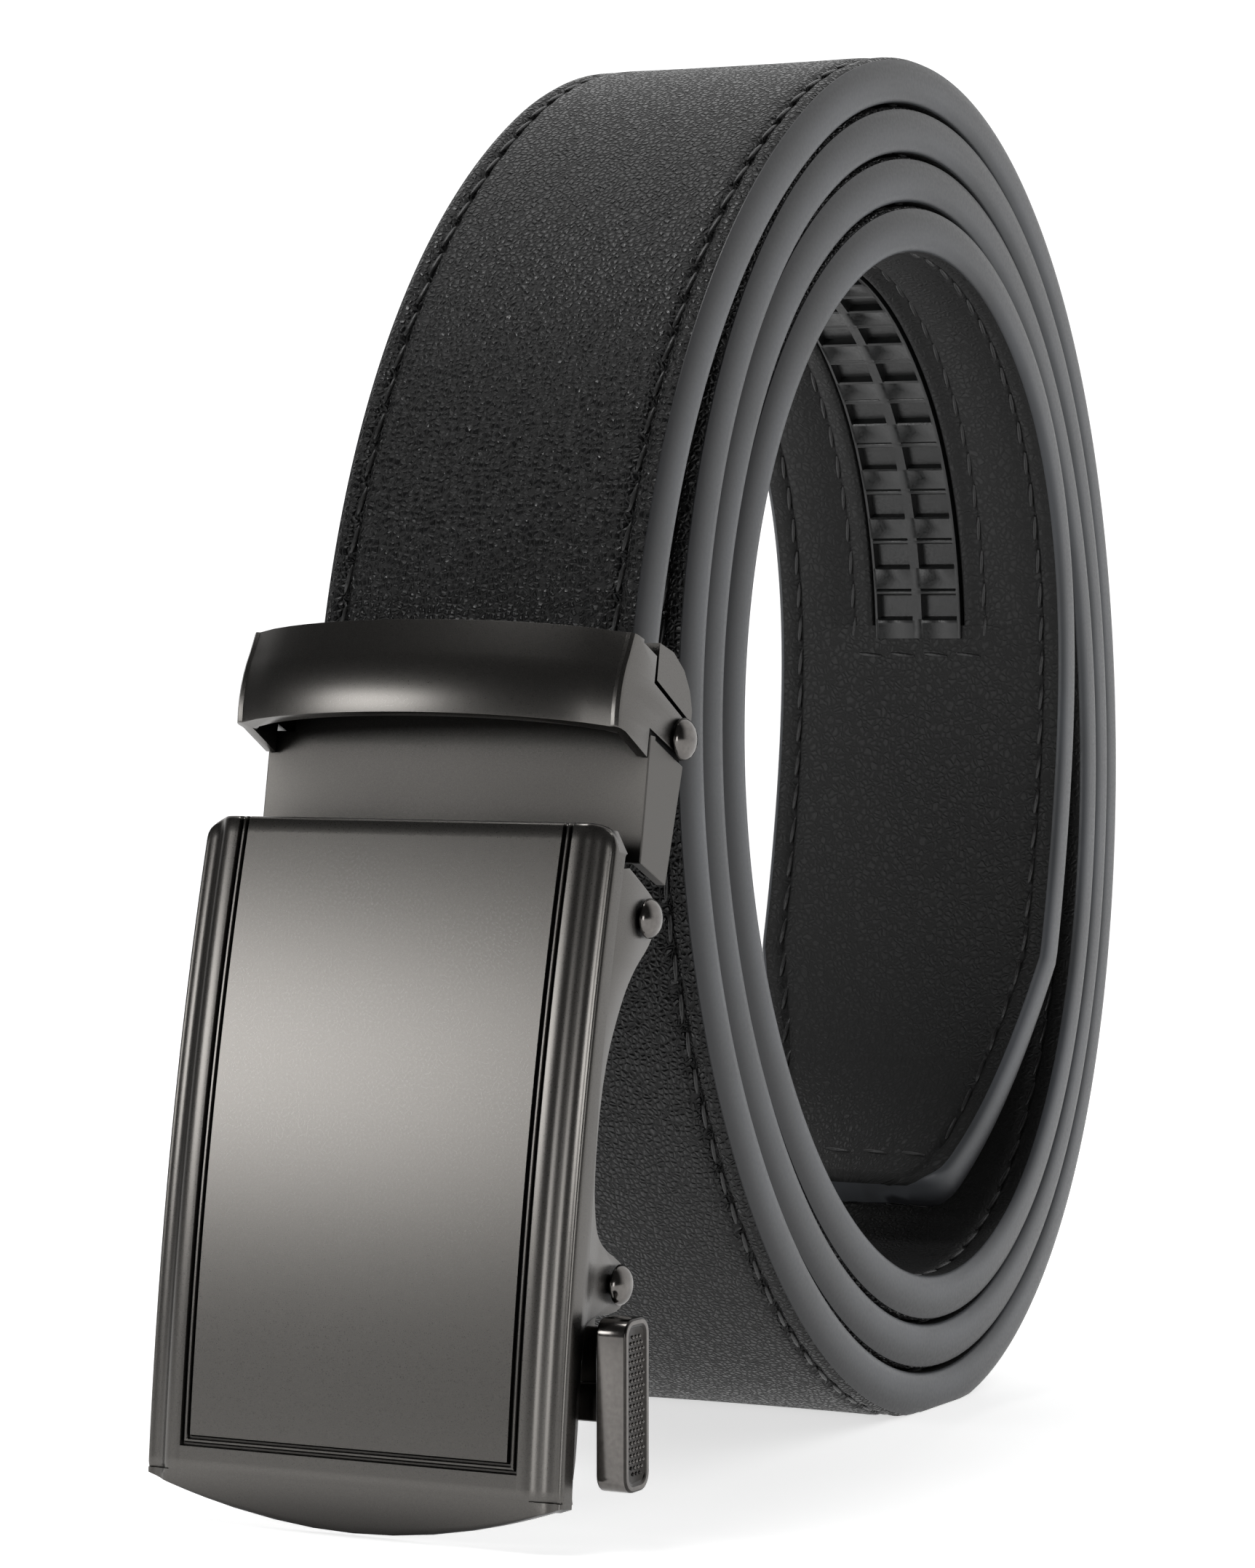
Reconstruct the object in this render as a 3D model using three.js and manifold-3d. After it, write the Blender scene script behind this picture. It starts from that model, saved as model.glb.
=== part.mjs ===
// A men's ratchet belt, rolled up on its rim with the buckle hanging in front.
// Millimetres, +Z up. X runs along the coil's axis, and the buckle faces -Y.
// The origin is the middle of the flat patch that the coil stands on.

import * as THREE from 'three';
import { mergeVertices } from 'three/addons/utils/BufferGeometryUtils.js';
import Module from 'manifold-3d';

const wasm = await Module();
wasm.setup();

// The strap and its coil
const strapWidth = 35;
const strapThick = 4.8;
const edgeRound = 0.9;          // the painted edge is eased by this much
const turnGap = 0.3;            // air between one turn and the next
const coilHalfDepth = 60.7;     // outside of the first turn, from the coil's centre
const coilHalfHeight = 73.9;
const coilLean = 7.7;           // degrees, the top of the coil leans to the buckle
const coilLobe = 0.9;           // the oval is a little three sided
const lobeTurn = 0.03;          // where the first lobe stands, in turns from the front
const restFlat = 1.0;           // how far the leather is pressed flat where it stands
const leaveTurn = 0.2;          // the strap leaves the coil for the buckle here
const tailTurn = 3.712;         // the strap ends here
const tailBow = 6.0;            // the free end stands off the turn outside it
const tailBowTurns = 0.33;
const tailBowShare = 0.8;       // at the very end it has come back this far along the bow
const tailTaper = 30;           // the free end narrows to its tip over this length
const tailCut = 6.5;            // by this much at each side
const stepsPerTurn = 40;

// How far the turns sit to the side of each other, front and back, as the belt was rolled
const turnDrift = [
  { turn: 0, side: 0 },
  { turn: 0.5, side: -3.0 },
  { turn: 1, side: -0.5 },
  { turn: 1.5, side: -2.0 },
  { turn: 2, side: -1.0 },
  { turn: 2.5, side: -1.2 },
  { turn: 3, side: -1.2 },
  { turn: 3.5, side: 0 },
  { turn: 4, side: 0 },
];

// The ratchet track in the inner face of the free end
const trackWidth = 10.4;
const trackThick = 1.2;
const trackProud = 0.35;
const trackStart = 67.5;        // from the strap's free end
const trackLength = 218;
const toothPitch = 6;
const toothDepth = 0.8;
const toothWidth = 4.1;
const pocketLength = 3.5;       // between two teeth
const pocketSlope = 0.2;        // the steep sides of a tooth
const trackEnd = 0.5;           // plain track past the last pocket
const fitGap = 0.3;             // air between pieces that touch on the real belt

// The buckle
const plateLean = 9.9;          // degrees, the buckle's foot stands forward
const plateStandoff = 18.9;     // from the coil's first turn to the plate's top edge
const footClear = 0.1;          // the plate's foot above the floor
const plateHeight = 65.2;
const plateThick = 1.8;
const plateBulge = 1.7;         // the plate is bent, convex to the front, by this much
const plateCorner = 2.4;
const lipHeight = 4.3;          // the bevelled lip below the front face
const lipSetback = 1.8;
const lipSide = 0.4;            // the lip's height left at the corners
const panelMargin = 5.2;        // from the plate's side to its groove
const grooveDepth = 0.4;
const grooveWidth = 0.35;
const beadWidth = 0.35;
const bottomGroove = 57.6;      // from the top edge to the groove across
const wallThick = 1.1;
const wallDepth = 2.9;
const earRadius = 2.1;          // round the hinge pin and the lever pin
const earFillet = 8.4;          // the ears run out into the wall over this much
const wallLow = 3.5;            // the wall's back edge behind the bent front
const wallFront = 1.6;
const pinRadius = 0.95;
const holeRadius = 1.25;
const headRadius = 1.85;
const headHeight = 1.15;
const hingeDepth = 7.7;         // hinge pin behind the plate's front
const hingeDrop = 7.7;          // and below its top edge
const leverDepth = 7.7;
const leverDrop = 41.0;

// The clip that holds the strap's cut end
const clipDepth = 8.2;          // its front face behind the plate's front
const clipSheet = 1.1;
const clipTop = 15.5;           // above the plate's top edge
const clipShoulder = 9.3;
const clipFoot = -2.6;
const strapSeat = 9.7;          // the strap's front face behind the plate's front
const strapFoot = -1.2;         // the strap's cut end
const strapEntry = 13.5;        // above this the strap curves away to the coil
const sideSheet = 1.0;
const barrelRadius = 1.7;
const barrelInset = 2.5;        // the barrel is narrower than the strap on each side
const flangeTop = 6.9;          // the flanges' depth at the top and the foot
const flangeFoot = 5.3;
const flangeSlope = 1.95;
const flangeDrop = 1.4;
const jawPivotDepth = 14.3;
const jawPivotHeight = 9.8;
const rivetHeadRadius = 2.0;
const lugClear = 0.55;          // the jaw's side lugs stand off the strap's edge
const lugSheet = 1.15;
const lugRadius = 1.7;
const jawEarHeight = 8.1;       // above the rivets
const jawEarDepth = 5.7;        // in front of them
const jawPlateHeight = 5.4;

// The keeper loop
const loopBottom = 8.9;
const loopHeight = 9.1;
const loopSheet = 1.2;
const loopLean = 9;             // degrees more than the plate's
const loopCrown = 4.6;          // the band's arch
const loopCorner = 3.5;         // depth of its front corners
const loopRound = 0.8;          // radius of the corners
const loopLugRadius = 1.85;     // round the rivet
const loopEarTop = 6.8;         // above the rivets

// The release lever
const padThick = 3.0;
const padHeight = 15.6;
const padDepth = 4.6;
const padTop = 43.8;            // below the plate's top edge
const padRound = 0.7;
const padFront = 1.5;
const padLean = 10;             // degrees, so that the pad hangs plumb
const neckTop = 44.9;
const neckFoot = 53.4;
const neckFront = 5.8;
const neckBack = 8.4;
const neckStep = 1.6;           // the neck's foot stands forward
const neckStepHigh = 3.5;
const pawlReach = 7.1;          // from the lever pin down to the pawl's edge
const pawlThick = 1.2;
const pawlFoot = 3.0;
const pawlHub = 1.9;

const pitch = strapThick + turnGap;
const rad = THREE.MathUtils.degToRad;
const lugInner = strapWidth / 2 + lugClear;
const sideInner = lugInner + lugSheet + fitGap;          // the clip's side sheets
const sideOuter = sideInner + sideSheet;
const plateWidth = 2 * (sideOuter + fitGap + wallThick);
const panelWidth = plateWidth - 2 * panelMargin;
const barrelHalf = strapWidth / 2 - barrelInset;

const leather = new THREE.MeshStandardMaterial({ color: 0x17181a, roughness: 0.55, metalness: 0 });
const plastic = new THREE.MeshStandardMaterial({ color: 0x1c1c1d, roughness: 0.45, metalness: 0 });
const gunmetal = new THREE.MeshStandardMaterial({ color: 0x6b6764, roughness: 0.35, metalness: 0.9 });
const brightPin = new THREE.MeshStandardMaterial({ color: 0x8b8784, roughness: 0.2, metalness: 1 });

// A closed geometry as a manifold solid, and back
function solidOf(geometry) {
  const bare = geometry.clone();
  bare.deleteAttribute('normal');
  bare.deleteAttribute('uv');
  const merged = mergeVertices(bare, 1e-4);
  const index = merged.index ? merged.index.array : [...Array(merged.attributes.position.count).keys()];
  return new wasm.Manifold(new wasm.Mesh({
    numProp: 3,
    vertProperties: new Float32Array(merged.attributes.position.array),
    triVerts: new Uint32Array(index),
  }));
}

function geometryOf(solid) {
  const mesh = solid.getMesh();
  const geometry = new THREE.BufferGeometry();
  geometry.setAttribute('position', new THREE.BufferAttribute(new Float32Array(mesh.vertProperties), 3));
  geometry.setIndex(new THREE.BufferAttribute(new Uint32Array(mesh.triVerts), 1));
  geometry.computeVertexNormals();
  return geometry;
}

function joined(...solids) {
  return solids.reduce((whole, next) => whole.add(next));
}

// A closed body through rings that all have the same number of points
function loft(rings, section) {
  const count = section.length;
  const points = rings.flat();
  const positions = points.flatMap((point) => [point.x, point.y, point.z]);
  const faces = [];
  for (let row = 0; row < rings.length - 1; row += 1) {
    for (let i = 0; i < count; i += 1) {
      const a = row * count + i;
      const b = row * count + (i + 1) % count;
      faces.push(a, b, b + count, a, b + count, a + count);
    }
  }
  const last = (rings.length - 1) * count;
  for (const [a, b, c] of THREE.ShapeUtils.triangulateShape(section, [])) {
    faces.push(a, c, b);
    faces.push(last + a, last + b, last + c);
  }
  const geometry = new THREE.BufferGeometry();
  geometry.setAttribute('position', new THREE.Float32BufferAttribute(positions, 3));
  geometry.setIndex(faces);
  return facingOut(geometry);
}

// Turns every face of a closed geometry round if its volume comes out negative
function facingOut(geometry) {
  const at = geometry.attributes.position;
  const index = geometry.index.array;
  const [a, b, c] = [new THREE.Vector3(), new THREE.Vector3(), new THREE.Vector3()];
  let volume = 0;
  for (let i = 0; i < index.length; i += 3) {
    a.fromBufferAttribute(at, index[i]);
    b.fromBufferAttribute(at, index[i + 1]);
    c.fromBufferAttribute(at, index[i + 2]);
    volume += a.dot(b.cross(c));
  }
  if (volume < 0) {
    for (let i = 0; i < index.length; i += 3) {
      [index[i], index[i + 1]] = [index[i + 1], index[i]];
    }
  }
  return geometry;
}

// A plate in the buckle's side plane: an outline of depth and height, from x to x + thick
function sidePlate(outline, x, thick) {
  const shape = new THREE.Shape(outline.map(([depth, height]) => new THREE.Vector2(depth, height)));
  const geometry = new THREE.ExtrudeGeometry(shape, { depth: thick, bevelEnabled: false, curveSegments: 6 });
  const axes = new THREE.Matrix4().makeBasis(
    new THREE.Vector3(0, 1, 0), new THREE.Vector3(0, 0, 1), new THREE.Vector3(1, 0, 0));
  geometry.applyMatrix4(axes);
  geometry.translate(x, 0, 0);
  return solidOf(geometry);
}

// The same plate on both sides of the buckle
function sidePair(outline, x, thick) {
  return sidePlate(outline, x, thick).add(sidePlate(outline, -x - thick, thick));
}

function block(x0, x1, y0, y1, z0, z1) {
  const geometry = new THREE.BoxGeometry(x1 - x0, y1 - y0, z1 - z0);
  geometry.translate((x0 + x1) / 2, (y0 + y1) / 2, (z0 + z1) / 2);
  return solidOf(geometry);
}

// A rod or bore along X
function rod(radius, x0, x1, depth, height, sides = 16) {
  const geometry = new THREE.CylinderGeometry(radius, radius, x1 - x0, sides);
  geometry.rotateZ(Math.PI / 2);
  geometry.translate((x0 + x1) / 2, depth, height);
  return solidOf(geometry);
}

// A pin along X as a turned profile, with a domed head at its right end and one at its left if asked
function pinGeometry(x0, x1, radius, bothHeads) {
  const dome = (x, way) => [[0, 1], [0.45, 0.9], [0.8, 0.55], [1, 0.15], [1, 0]].map(
    ([across, along]) => new THREE.Vector2(across * radius, x + way * along * headHeight));
  const leftEnd = bothHeads ? dome(x0, -1) : [new THREE.Vector2(0, x0)];
  const profile = [
    ...leftEnd,
    new THREE.Vector2(pinRadius, x0),
    new THREE.Vector2(pinRadius, x1),
    ...dome(x1, 1).reverse(),
  ];
  const geometry = new THREE.LatheGeometry(profile, 16);
  geometry.rotateZ(-Math.PI / 2);
  return geometryOf(solidOf(facingOut(mergeVertices(stripped(geometry), 1e-4))));
}

function stripped(geometry) {
  geometry.deleteAttribute('normal');
  geometry.deleteAttribute('uv');
  return geometry;
}

// Side shift of the turns, eased between the rows of the table
function sideAt(turn) {
  const last = turnDrift.length - 1;
  const row = Math.min(Math.max(turnDrift.findIndex((step) => step.turn > turn) - 1, 0), last - 1);
  const from = turnDrift[row];
  const to = turnDrift[row + 1];
  const share = THREE.MathUtils.clamp((turn - from.turn) / (to.turn - from.turn), 0, 1);
  return THREE.MathUtils.lerp(from.side, to.side, (1 - Math.cos(Math.PI * share)) / 2);
}

// A point of the coil's centreline, as (y, z) from the coil's centre; 0 turns is the front, 0.25 the top
function coilPoint(turn) {
  const angle = Math.PI - 2 * Math.PI * turn;
  const bowed = THREE.MathUtils.clamp((turn - (tailTurn - tailBowTurns)) / tailBowTurns, 0, 1);
  const out = coilLobe * Math.cos(6 * Math.PI * (turn - lobeTurn))
    - tailBow * Math.sin(Math.PI * tailBowShare * bowed) ** 2 - pitch * turn - strapThick / 2;
  const point = new THREE.Vector2(
    (coilHalfDepth + out) * Math.cos(angle), (coilHalfHeight + out) * Math.sin(angle));
  return point.rotateAround(new THREE.Vector2(), rad(coilLean));
}

function coilTangent(turn) {
  const step = 1e-4;
  return coilPoint(turn + step).sub(coilPoint(turn - step)).normalize();
}

// Lowest point of the first turn's outer face
function lowestPoint() {
  let lowest = new THREE.Vector2(0, Infinity);
  for (let turn = 0.6; turn < 0.9; turn += 0.0005) {
    const along = coilTangent(turn);
    const outer = coilPoint(turn).add(new THREE.Vector2(-along.y, along.x).multiplyScalar(strapThick / 2));
    if (outer.y < lowest.y) lowest = outer;
  }
  return lowest;
}

const lowest = lowestPoint();
const coilCentre = new THREE.Vector2(-lowest.x, -lowest.y - restFlat);

// The buckle's own frame: depth behind the plate's front, height above its top edge
const footRise = plateHeight * Math.cos(rad(plateLean)) + (plateThick + 0.2) * Math.sin(rad(plateLean));
const buckleTop = new THREE.Vector2(coilCentre.x - coilHalfDepth - plateStandoff, footRise + footClear);

function fromBuckle(depth, height) {
  return new THREE.Vector2(depth, height).rotateAround(new THREE.Vector2(), -rad(plateLean)).add(buckleTop);
}

// The strap's centreline from the cut end in the clip to the free end: position, outward normal, side shift
function strapPath() {
  const seat = strapSeat + strapThick / 2;
  const foot = fromBuckle(seat, strapFoot);
  const entry = fromBuckle(seat, strapEntry);
  const upClip = entry.clone().sub(foot).normalize();
  const leave = coilPoint(leaveTurn).add(coilCentre);
  const onCoil = coilTangent(leaveTurn);
  const reach = entry.distanceTo(leave) * 0.36;
  const curve = new THREE.CubicBezierCurve(
    entry, entry.clone().addScaledVector(upClip, reach),
    leave.clone().addScaledVector(onCoil, -reach), leave);
  const path = [];
  const add = (point, along, turn) => path.push({
    point, out: new THREE.Vector2(-along.y, along.x), side: sideAt(turn), turn });
  add(foot, upClip, 0);
  const freeSteps = 14;
  for (let i = 0; i < freeSteps; i += 1) {
    const share = i / freeSteps;
    add(curve.getPoint(share), curve.getTangent(share), leaveTurn * share);
  }
  const firstStep = Math.round(leaveTurn * stepsPerTurn);
  const lastStep = Math.floor(tailTurn * stepsPerTurn);
  for (let step = firstStep; step <= lastStep; step += 1) {
    const turn = step / stepsPerTurn;
    add(coilPoint(turn).add(coilCentre), coilTangent(turn), turn);
  }
  add(coilPoint(tailTurn).add(coilCentre), coilTangent(tailTurn), tailTurn);
  let length = 0;
  path.forEach((place, i) => {
    if (i > 0) length += place.point.distanceTo(path[i - 1].point);
    place.at = length;
  });
  return path;
}

const path = strapPath();
const strapLength = path[path.length - 1].at;

// A place on the path by its distance from the cut end, on the straight piece between two steps
function placeAt(distance) {
  const next = Math.max(path.findIndex((place) => place.at >= distance), 1);
  const from = path[next - 1];
  const to = path[next];
  const share = (distance - from.at) / (to.at - from.at);
  return {
    point: from.point.clone().lerp(to.point, share),
    out: from.out.clone().lerp(to.out, share),
    side: THREE.MathUtils.lerp(from.side, to.side, share),
  };
}

// A section of (x, outward) points carried to a place of the path, never below the floor
function ringAt(place, section) {
  return section.map((corner) => {
    const at = place.point.clone().addScaledVector(place.out, corner.y);
    return new THREE.Vector3(corner.x + place.side, at.x, Math.max(at.y, 0));
  });
}

function sectionOf(corners) {
  return corners.map(([x, out]) => new THREE.Vector2(x, out));
}

// The places from one distance to another, with the path's own steps between
function placesBetween(from, to) {
  const inner = path.filter((place) => place.at > from + 0.01 && place.at < to - 0.01);
  return [placeAt(from), ...inner, placeAt(to)];
}

const trackFrom = strapLength - trackStart - trackLength;
const trackTo = strapLength - trackStart;

// The section at a place, narrower towards the tip
function narrowed(section, place) {
  const past = THREE.MathUtils.clamp(1 - (strapLength - place.at) / tailTaper, 0, 1);
  return section.map((corner) => new THREE.Vector2(corner.x - Math.sign(corner.x) * tailCut * past, corner.y));
}

function strapGeometry() {
  const x = strapWidth / 2;
  const out = strapThick / 2;
  const section = sectionOf([
    [-x, -out + edgeRound], [-x + edgeRound, -out], [x - edgeRound, -out], [x, -out + edgeRound],
    [x, out - edgeRound], [x - edgeRound, out], [-x + edgeRound, out], [-x, out - edgeRound],
  ]);
  const band = solidOf(loft(path.map((place) => ringAt(place, narrowed(section, place))), section));
  const half = trackWidth / 2 + fitGap;
  const floor = -out + trackThick - trackProud + fitGap;
  const groove = sectionOf([[-half, -out - 1], [half, -out - 1], [half, floor], [-half, floor]]);
  const places = placesBetween(trackFrom - fitGap, trackTo + fitGap);
  return geometryOf(band.subtract(solidOf(loft(places.map((place) => ringAt(place, groove)), groove))));
}

// Two columns of pockets with the teeth between them, the last pocket next to the free end
function trackGeometry() {
  const half = trackWidth / 2;
  const top = -strapThick / 2 - trackProud;
  const back = top + trackThick;
  const outer = half - 0.35;
  const inner = outer - toothWidth;
  const section = (dip) => sectionOf([
    [-half, back], [-half, top], [-outer - 0.02, top], [-outer, top + dip], [-inner, top + dip],
    [-inner + 0.02, top], [inner - 0.02, top], [inner, top + dip], [outer, top + dip],
    [outer + 0.02, top], [half, top], [half, back],
  ]);
  const low = section(toothDepth);
  const high = section(0.03);
  const rings = [ringAt(placeAt(trackFrom), high)];
  const teeth = Math.floor((trackLength - 1) / toothPitch);
  for (let tooth = 0; tooth < teeth; tooth += 1) {
    const start = trackTo - trackEnd - pocketLength - (teeth - 1 - tooth) * toothPitch;
    rings.push(ringAt(placeAt(start), high));
    rings.push(ringAt(placeAt(start + pocketSlope), low));
    rings.push(ringAt(placeAt(start + pocketLength - pocketSlope), low));
    rings.push(ringAt(placeAt(start + pocketLength), high));
  }
  rings.push(ringAt(placeAt(trackTo), high));
  return loft(rings, low);
}

// The plate's bend at a height: how far its front stands before the straight line top to foot
function bendAt(height) {
  const share = (height + plateHeight / 2) / (plateHeight / 2);
  return -plateBulge * (1 - share * share);
}

function facePlateGeometry() {
  const edge = plateWidth / 2;
  const panel = panelWidth / 2;
  const first = panel + grooveWidth;
  const bead = first + beadWidth;
  const second = bead + grooveWidth;
  // Right half of the front from the middle out: across, depth
  const front = [
    [panel, 0], [panel + 0.08, grooveDepth], [first, grooveDepth], [first + 0.05, 0.08],
    [bead, 0.08], [bead + 0.05, grooveDepth], [second, grooveDepth], [second + 0.08, 0],
    [edge - 2.2, 0.1], [edge - 1.3, 0.45], [edge - 0.7, 0.95], [edge - 0.5, 1.25], [edge, 1.35],
  ];
  const backCorner = [[edge, wallDepth], [edge - wallThick, wallDepth], [edge - wallThick, plateThick]];
  const right = [...front, ...backCorner];
  const section = sectionOf([...right, ...right.slice().reverse().map(([x, y]) => [-x, y])]);
  const rowCount = 13;
  const faceHeight = plateHeight - lipHeight;
  const rings = [];
  for (let row = 0; row < rowCount; row += 1) {
    const height = -faceHeight * row / (rowCount - 1);
    rings.push(section.map((corner) => new THREE.Vector3(corner.x, corner.y + bendAt(height), height)));
  }
  rings.push(section.map((corner) => {
    const setback = Math.max(corner.y, lipSetback * (1 - 0.15 * (corner.x / edge) ** 2));
    return new THREE.Vector3(corner.x, Math.min(setback, plateThick + 0.2) + bendAt(-plateHeight), -plateHeight);
  }));
  const body = solidOf(loft(rings, section));

  // Outline from the front: eased top corners, and the lip's arc from corner to corner
  const cornerFoot = -(plateHeight - lipHeight + lipSide);
  const outline = new THREE.Shape();
  outline.moveTo(-edge, cornerFoot);
  outline.quadraticCurveTo(-edge * 0.45, -plateHeight, 0, -plateHeight);
  outline.quadraticCurveTo(edge * 0.45, -plateHeight, edge, cornerFoot);
  outline.lineTo(edge, -plateCorner);
  outline.quadraticCurveTo(edge, 0, edge - plateCorner, 0);
  outline.lineTo(-edge + plateCorner, 0);
  outline.quadraticCurveTo(-edge, 0, -edge, -plateCorner);

  // The double groove across the foot, between the two upright ones
  const acrossDepth = bendAt(-bottomGroove) + grooveDepth;
  const span = panel + 0.04;
  const grooves = joined(
    block(-span, span, -4, acrossDepth, -bottomGroove - grooveWidth, -bottomGroove),
    block(-span - beadWidth, span + beadWidth, -4, acrossDepth,
      -bottomGroove - 2 * grooveWidth - beadWidth, -bottomGroove - grooveWidth - beadWidth));

  const trimmed = body.intersect(solidOf(outlinePrism(outline))).subtract(grooves);
  const walls = sidePair(earOutline(), edge - wallThick, wallThick);
  const bores = joined(
    rod(holeRadius, -edge - 1, edge + 1, hingeDepth, -hingeDrop),
    rod(holeRadius, -edge - 1, edge + 1, leverDepth, -leverDrop));
  return geometryOf(trimmed.add(walls).subtract(bores));
}

// A prism of a front outline (x, height), thick enough to stamp the plate
function outlinePrism(shape) {
  const geometry = new THREE.ExtrudeGeometry(shape, { depth: plateHeight, bevelEnabled: false, curveSegments: 8 });
  const axes = new THREE.Matrix4().makeBasis(
    new THREE.Vector3(1, 0, 0), new THREE.Vector3(0, 0, 1), new THREE.Vector3(0, -1, 0));
  geometry.applyMatrix4(axes);
  geometry.translate(0, plateHeight / 2, 0);
  return geometry;
}

// The side wall with its two ears: depth, height
function earOutline() {
  const r = earRadius;
  const fromHinge = (depth, height) => [hingeDepth + depth, -hingeDrop + height];
  const fromLever = (depth, height) => [leverDepth + depth, -leverDrop + height];
  const wallAt = (height) => [bendAt(height) + wallLow, height];
  const frontAt = (height) => [bendAt(height) + wallFront, height];
  const middle = -(hingeDrop + leverDrop) / 2;
  const foot = -plateHeight + lipHeight + wallLow / 2;
  return [
    frontAt(-1.24 * r), fromHinge(0.05 * r, 1.19 * r), fromHinge(0.71 * r, 0.81 * r), fromHinge(r, 0),
    fromHinge(0.62 * r, -1.05 * r), fromHinge(-0.76 * r, -0.6 * earFillet),
    fromHinge(-1.71 * r, -earFillet), wallAt(middle + 0.24 * earFillet), wallAt(middle - 0.83 * earFillet),
    fromLever(-2.33 * r, 0.58 * earFillet), fromLever(-1.62 * r, 0.38 * earFillet), fromLever(0, 1.05 * r),
    fromLever(0.71 * r, 0.71 * r), fromLever(r, 0), fromLever(0.62 * r, -1.19 * r),
    fromLever(-2.19 * r, -1.52 * r), wallAt(-leverDrop - 0.6 * earFillet), wallAt(foot), frontAt(foot),
    frontAt(-leverDrop), frontAt(middle), frontAt(-hingeDrop - 0.71 * earFillet),
  ];
}

function clipChannelGeometry() {
  const back = clipDepth + clipSheet;
  const low = block(-sideOuter, sideOuter, clipDepth, back, clipFoot, clipShoulder);
  const high = block(-lugInner + fitGap, lugInner - fitGap, clipDepth, back, clipShoulder - clipSheet, clipTop);
  const flange = sidePair([
    [clipDepth, clipFoot], [clipDepth, clipShoulder], [clipDepth + flangeTop, clipShoulder - flangeSlope],
    [clipDepth + flangeFoot, clipFoot - flangeDrop],
  ], sideInner, sideSheet);
  const tongue = block(-barrelHalf, barrelHalf, clipDepth, back, -hingeDrop, clipFoot + clipSheet / 2);
  const barrel = rod(barrelRadius, -barrelHalf, barrelHalf, hingeDepth, -hingeDrop);
  const bore = rod(holeRadius, -barrelHalf - 1, barrelHalf + 1, hingeDepth, -hingeDrop);
  return geometryOf(joined(low, high, flange, tongue, barrel).subtract(bore));
}

// The jaw behind the strap: back plate, D shaped side ears and the lugs that turn on the rivets
function clampJawGeometry() {
  const depth = jawPivotDepth;
  const height = jawPivotHeight;
  const strapBack = strapSeat + strapThick + fitGap;
  const plate = block(-sideInner + fitGap, sideInner - fitGap, strapBack, strapBack + clipSheet,
    height + fitGap, height + fitGap + jawPlateHeight);
  const [ear, r] = [jawEarHeight, lugRadius];
  const sideEar = sidePair([
    [depth - jawEarDepth, height + 0.57 * ear], [depth - jawEarDepth, height + ear],
    [depth - 0.35 * ear, height + 0.95 * ear], [depth - 0.06 * ear, height + 0.79 * ear],
    [depth + 0.12 * ear, height + 0.58 * ear], [depth + r, height + 0.36 * ear],
    [depth + r, height + 0.22 * ear],
  ], lugInner, sideOuter - lugInner);
  const lug = sidePair([
    [depth - 1.29 * r, height + 0.49 * ear], [depth + r, height + 0.49 * ear], [depth + 1.12 * r, height],
    [depth + 0.7 * r, height - r], [depth - 0.7 * r, height - r], [depth - 1.18 * r, height],
  ], lugInner, lugSheet);
  const bore = rod(holeRadius, -sideOuter - 1, sideOuter + 1, depth, height);
  return geometryOf(joined(plate, sideEar, lug).subtract(bore));
}

function keeperLoopGeometry() {
  const edge = sideOuter;
  // The band from above: an arch with rounded corners, the inner side a sheet's thickness behind it
  const archSteps = 9;
  const archAt = (half, corner, crown) => Array.from({ length: archSteps + 1 }, (_, i) => {
    const across = i / archSteps * (half - loopRound) / half;
    return [across * half, corner - (1 - across * across) ** 0.7 * crown];
  });
  const turned = (half, corner) => [30, 60, 90].map((angle) => [
    half - loopRound * (1 - Math.sin(rad(angle))), corner + loopRound * (1 - Math.cos(rad(angle)))]);
  const outer = [...archAt(edge, loopCorner, loopCrown), ...turned(edge, loopCorner - 0.2 * loopCrown)];
  const inner = archAt(edge - loopSheet, loopCorner + loopSheet, loopCrown);
  const right = [...outer, [edge, loopCorner + loopSheet], [edge - loopSheet, loopCorner + loopSheet],
    ...inner.reverse()];
  const left = right.slice(1, -1).reverse().map(([x, y]) => [-x, y]);
  const shape = new THREE.Shape([...right, ...left].map(([x, y]) => new THREE.Vector2(x, y)));
  const band = new THREE.ExtrudeGeometry(shape, { depth: loopHeight, bevelEnabled: false });
  band.translate(0, -loopCorner, 0);
  band.rotateX(-rad(loopLean));
  band.translate(0, loopCorner - loopSheet / 2, loopBottom);
  const [depth, height, r] = [jawPivotDepth, jawPivotHeight, loopLugRadius];
  const ear = sidePair([
    [loopCorner - fitGap, loopBottom + 0.05], [clipDepth - 0.4, loopBottom - 0.92 * r],
    [clipDepth - fitGap, clipShoulder + 2 * fitGap], [depth + 0.49 * r, height - r],
    [depth + 0.97 * r, height - 0.38 * r], [depth + 0.92 * r, height + 0.49 * r],
    [depth + 0.16 * r, height + r], [clipDepth - 0.05 * r, height + 0.63 * loopEarTop],
    [clipDepth, height + loopEarTop], [loopCorner + 0.54 * r, loopBottom + loopHeight - fitGap],
  ], sideInner, sideSheet);
  const bore = rod(holeRadius, -sideOuter - 1, sideOuter + 1, depth, height);
  return geometryOf(solidOf(band).add(ear).subtract(bore));
}

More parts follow.
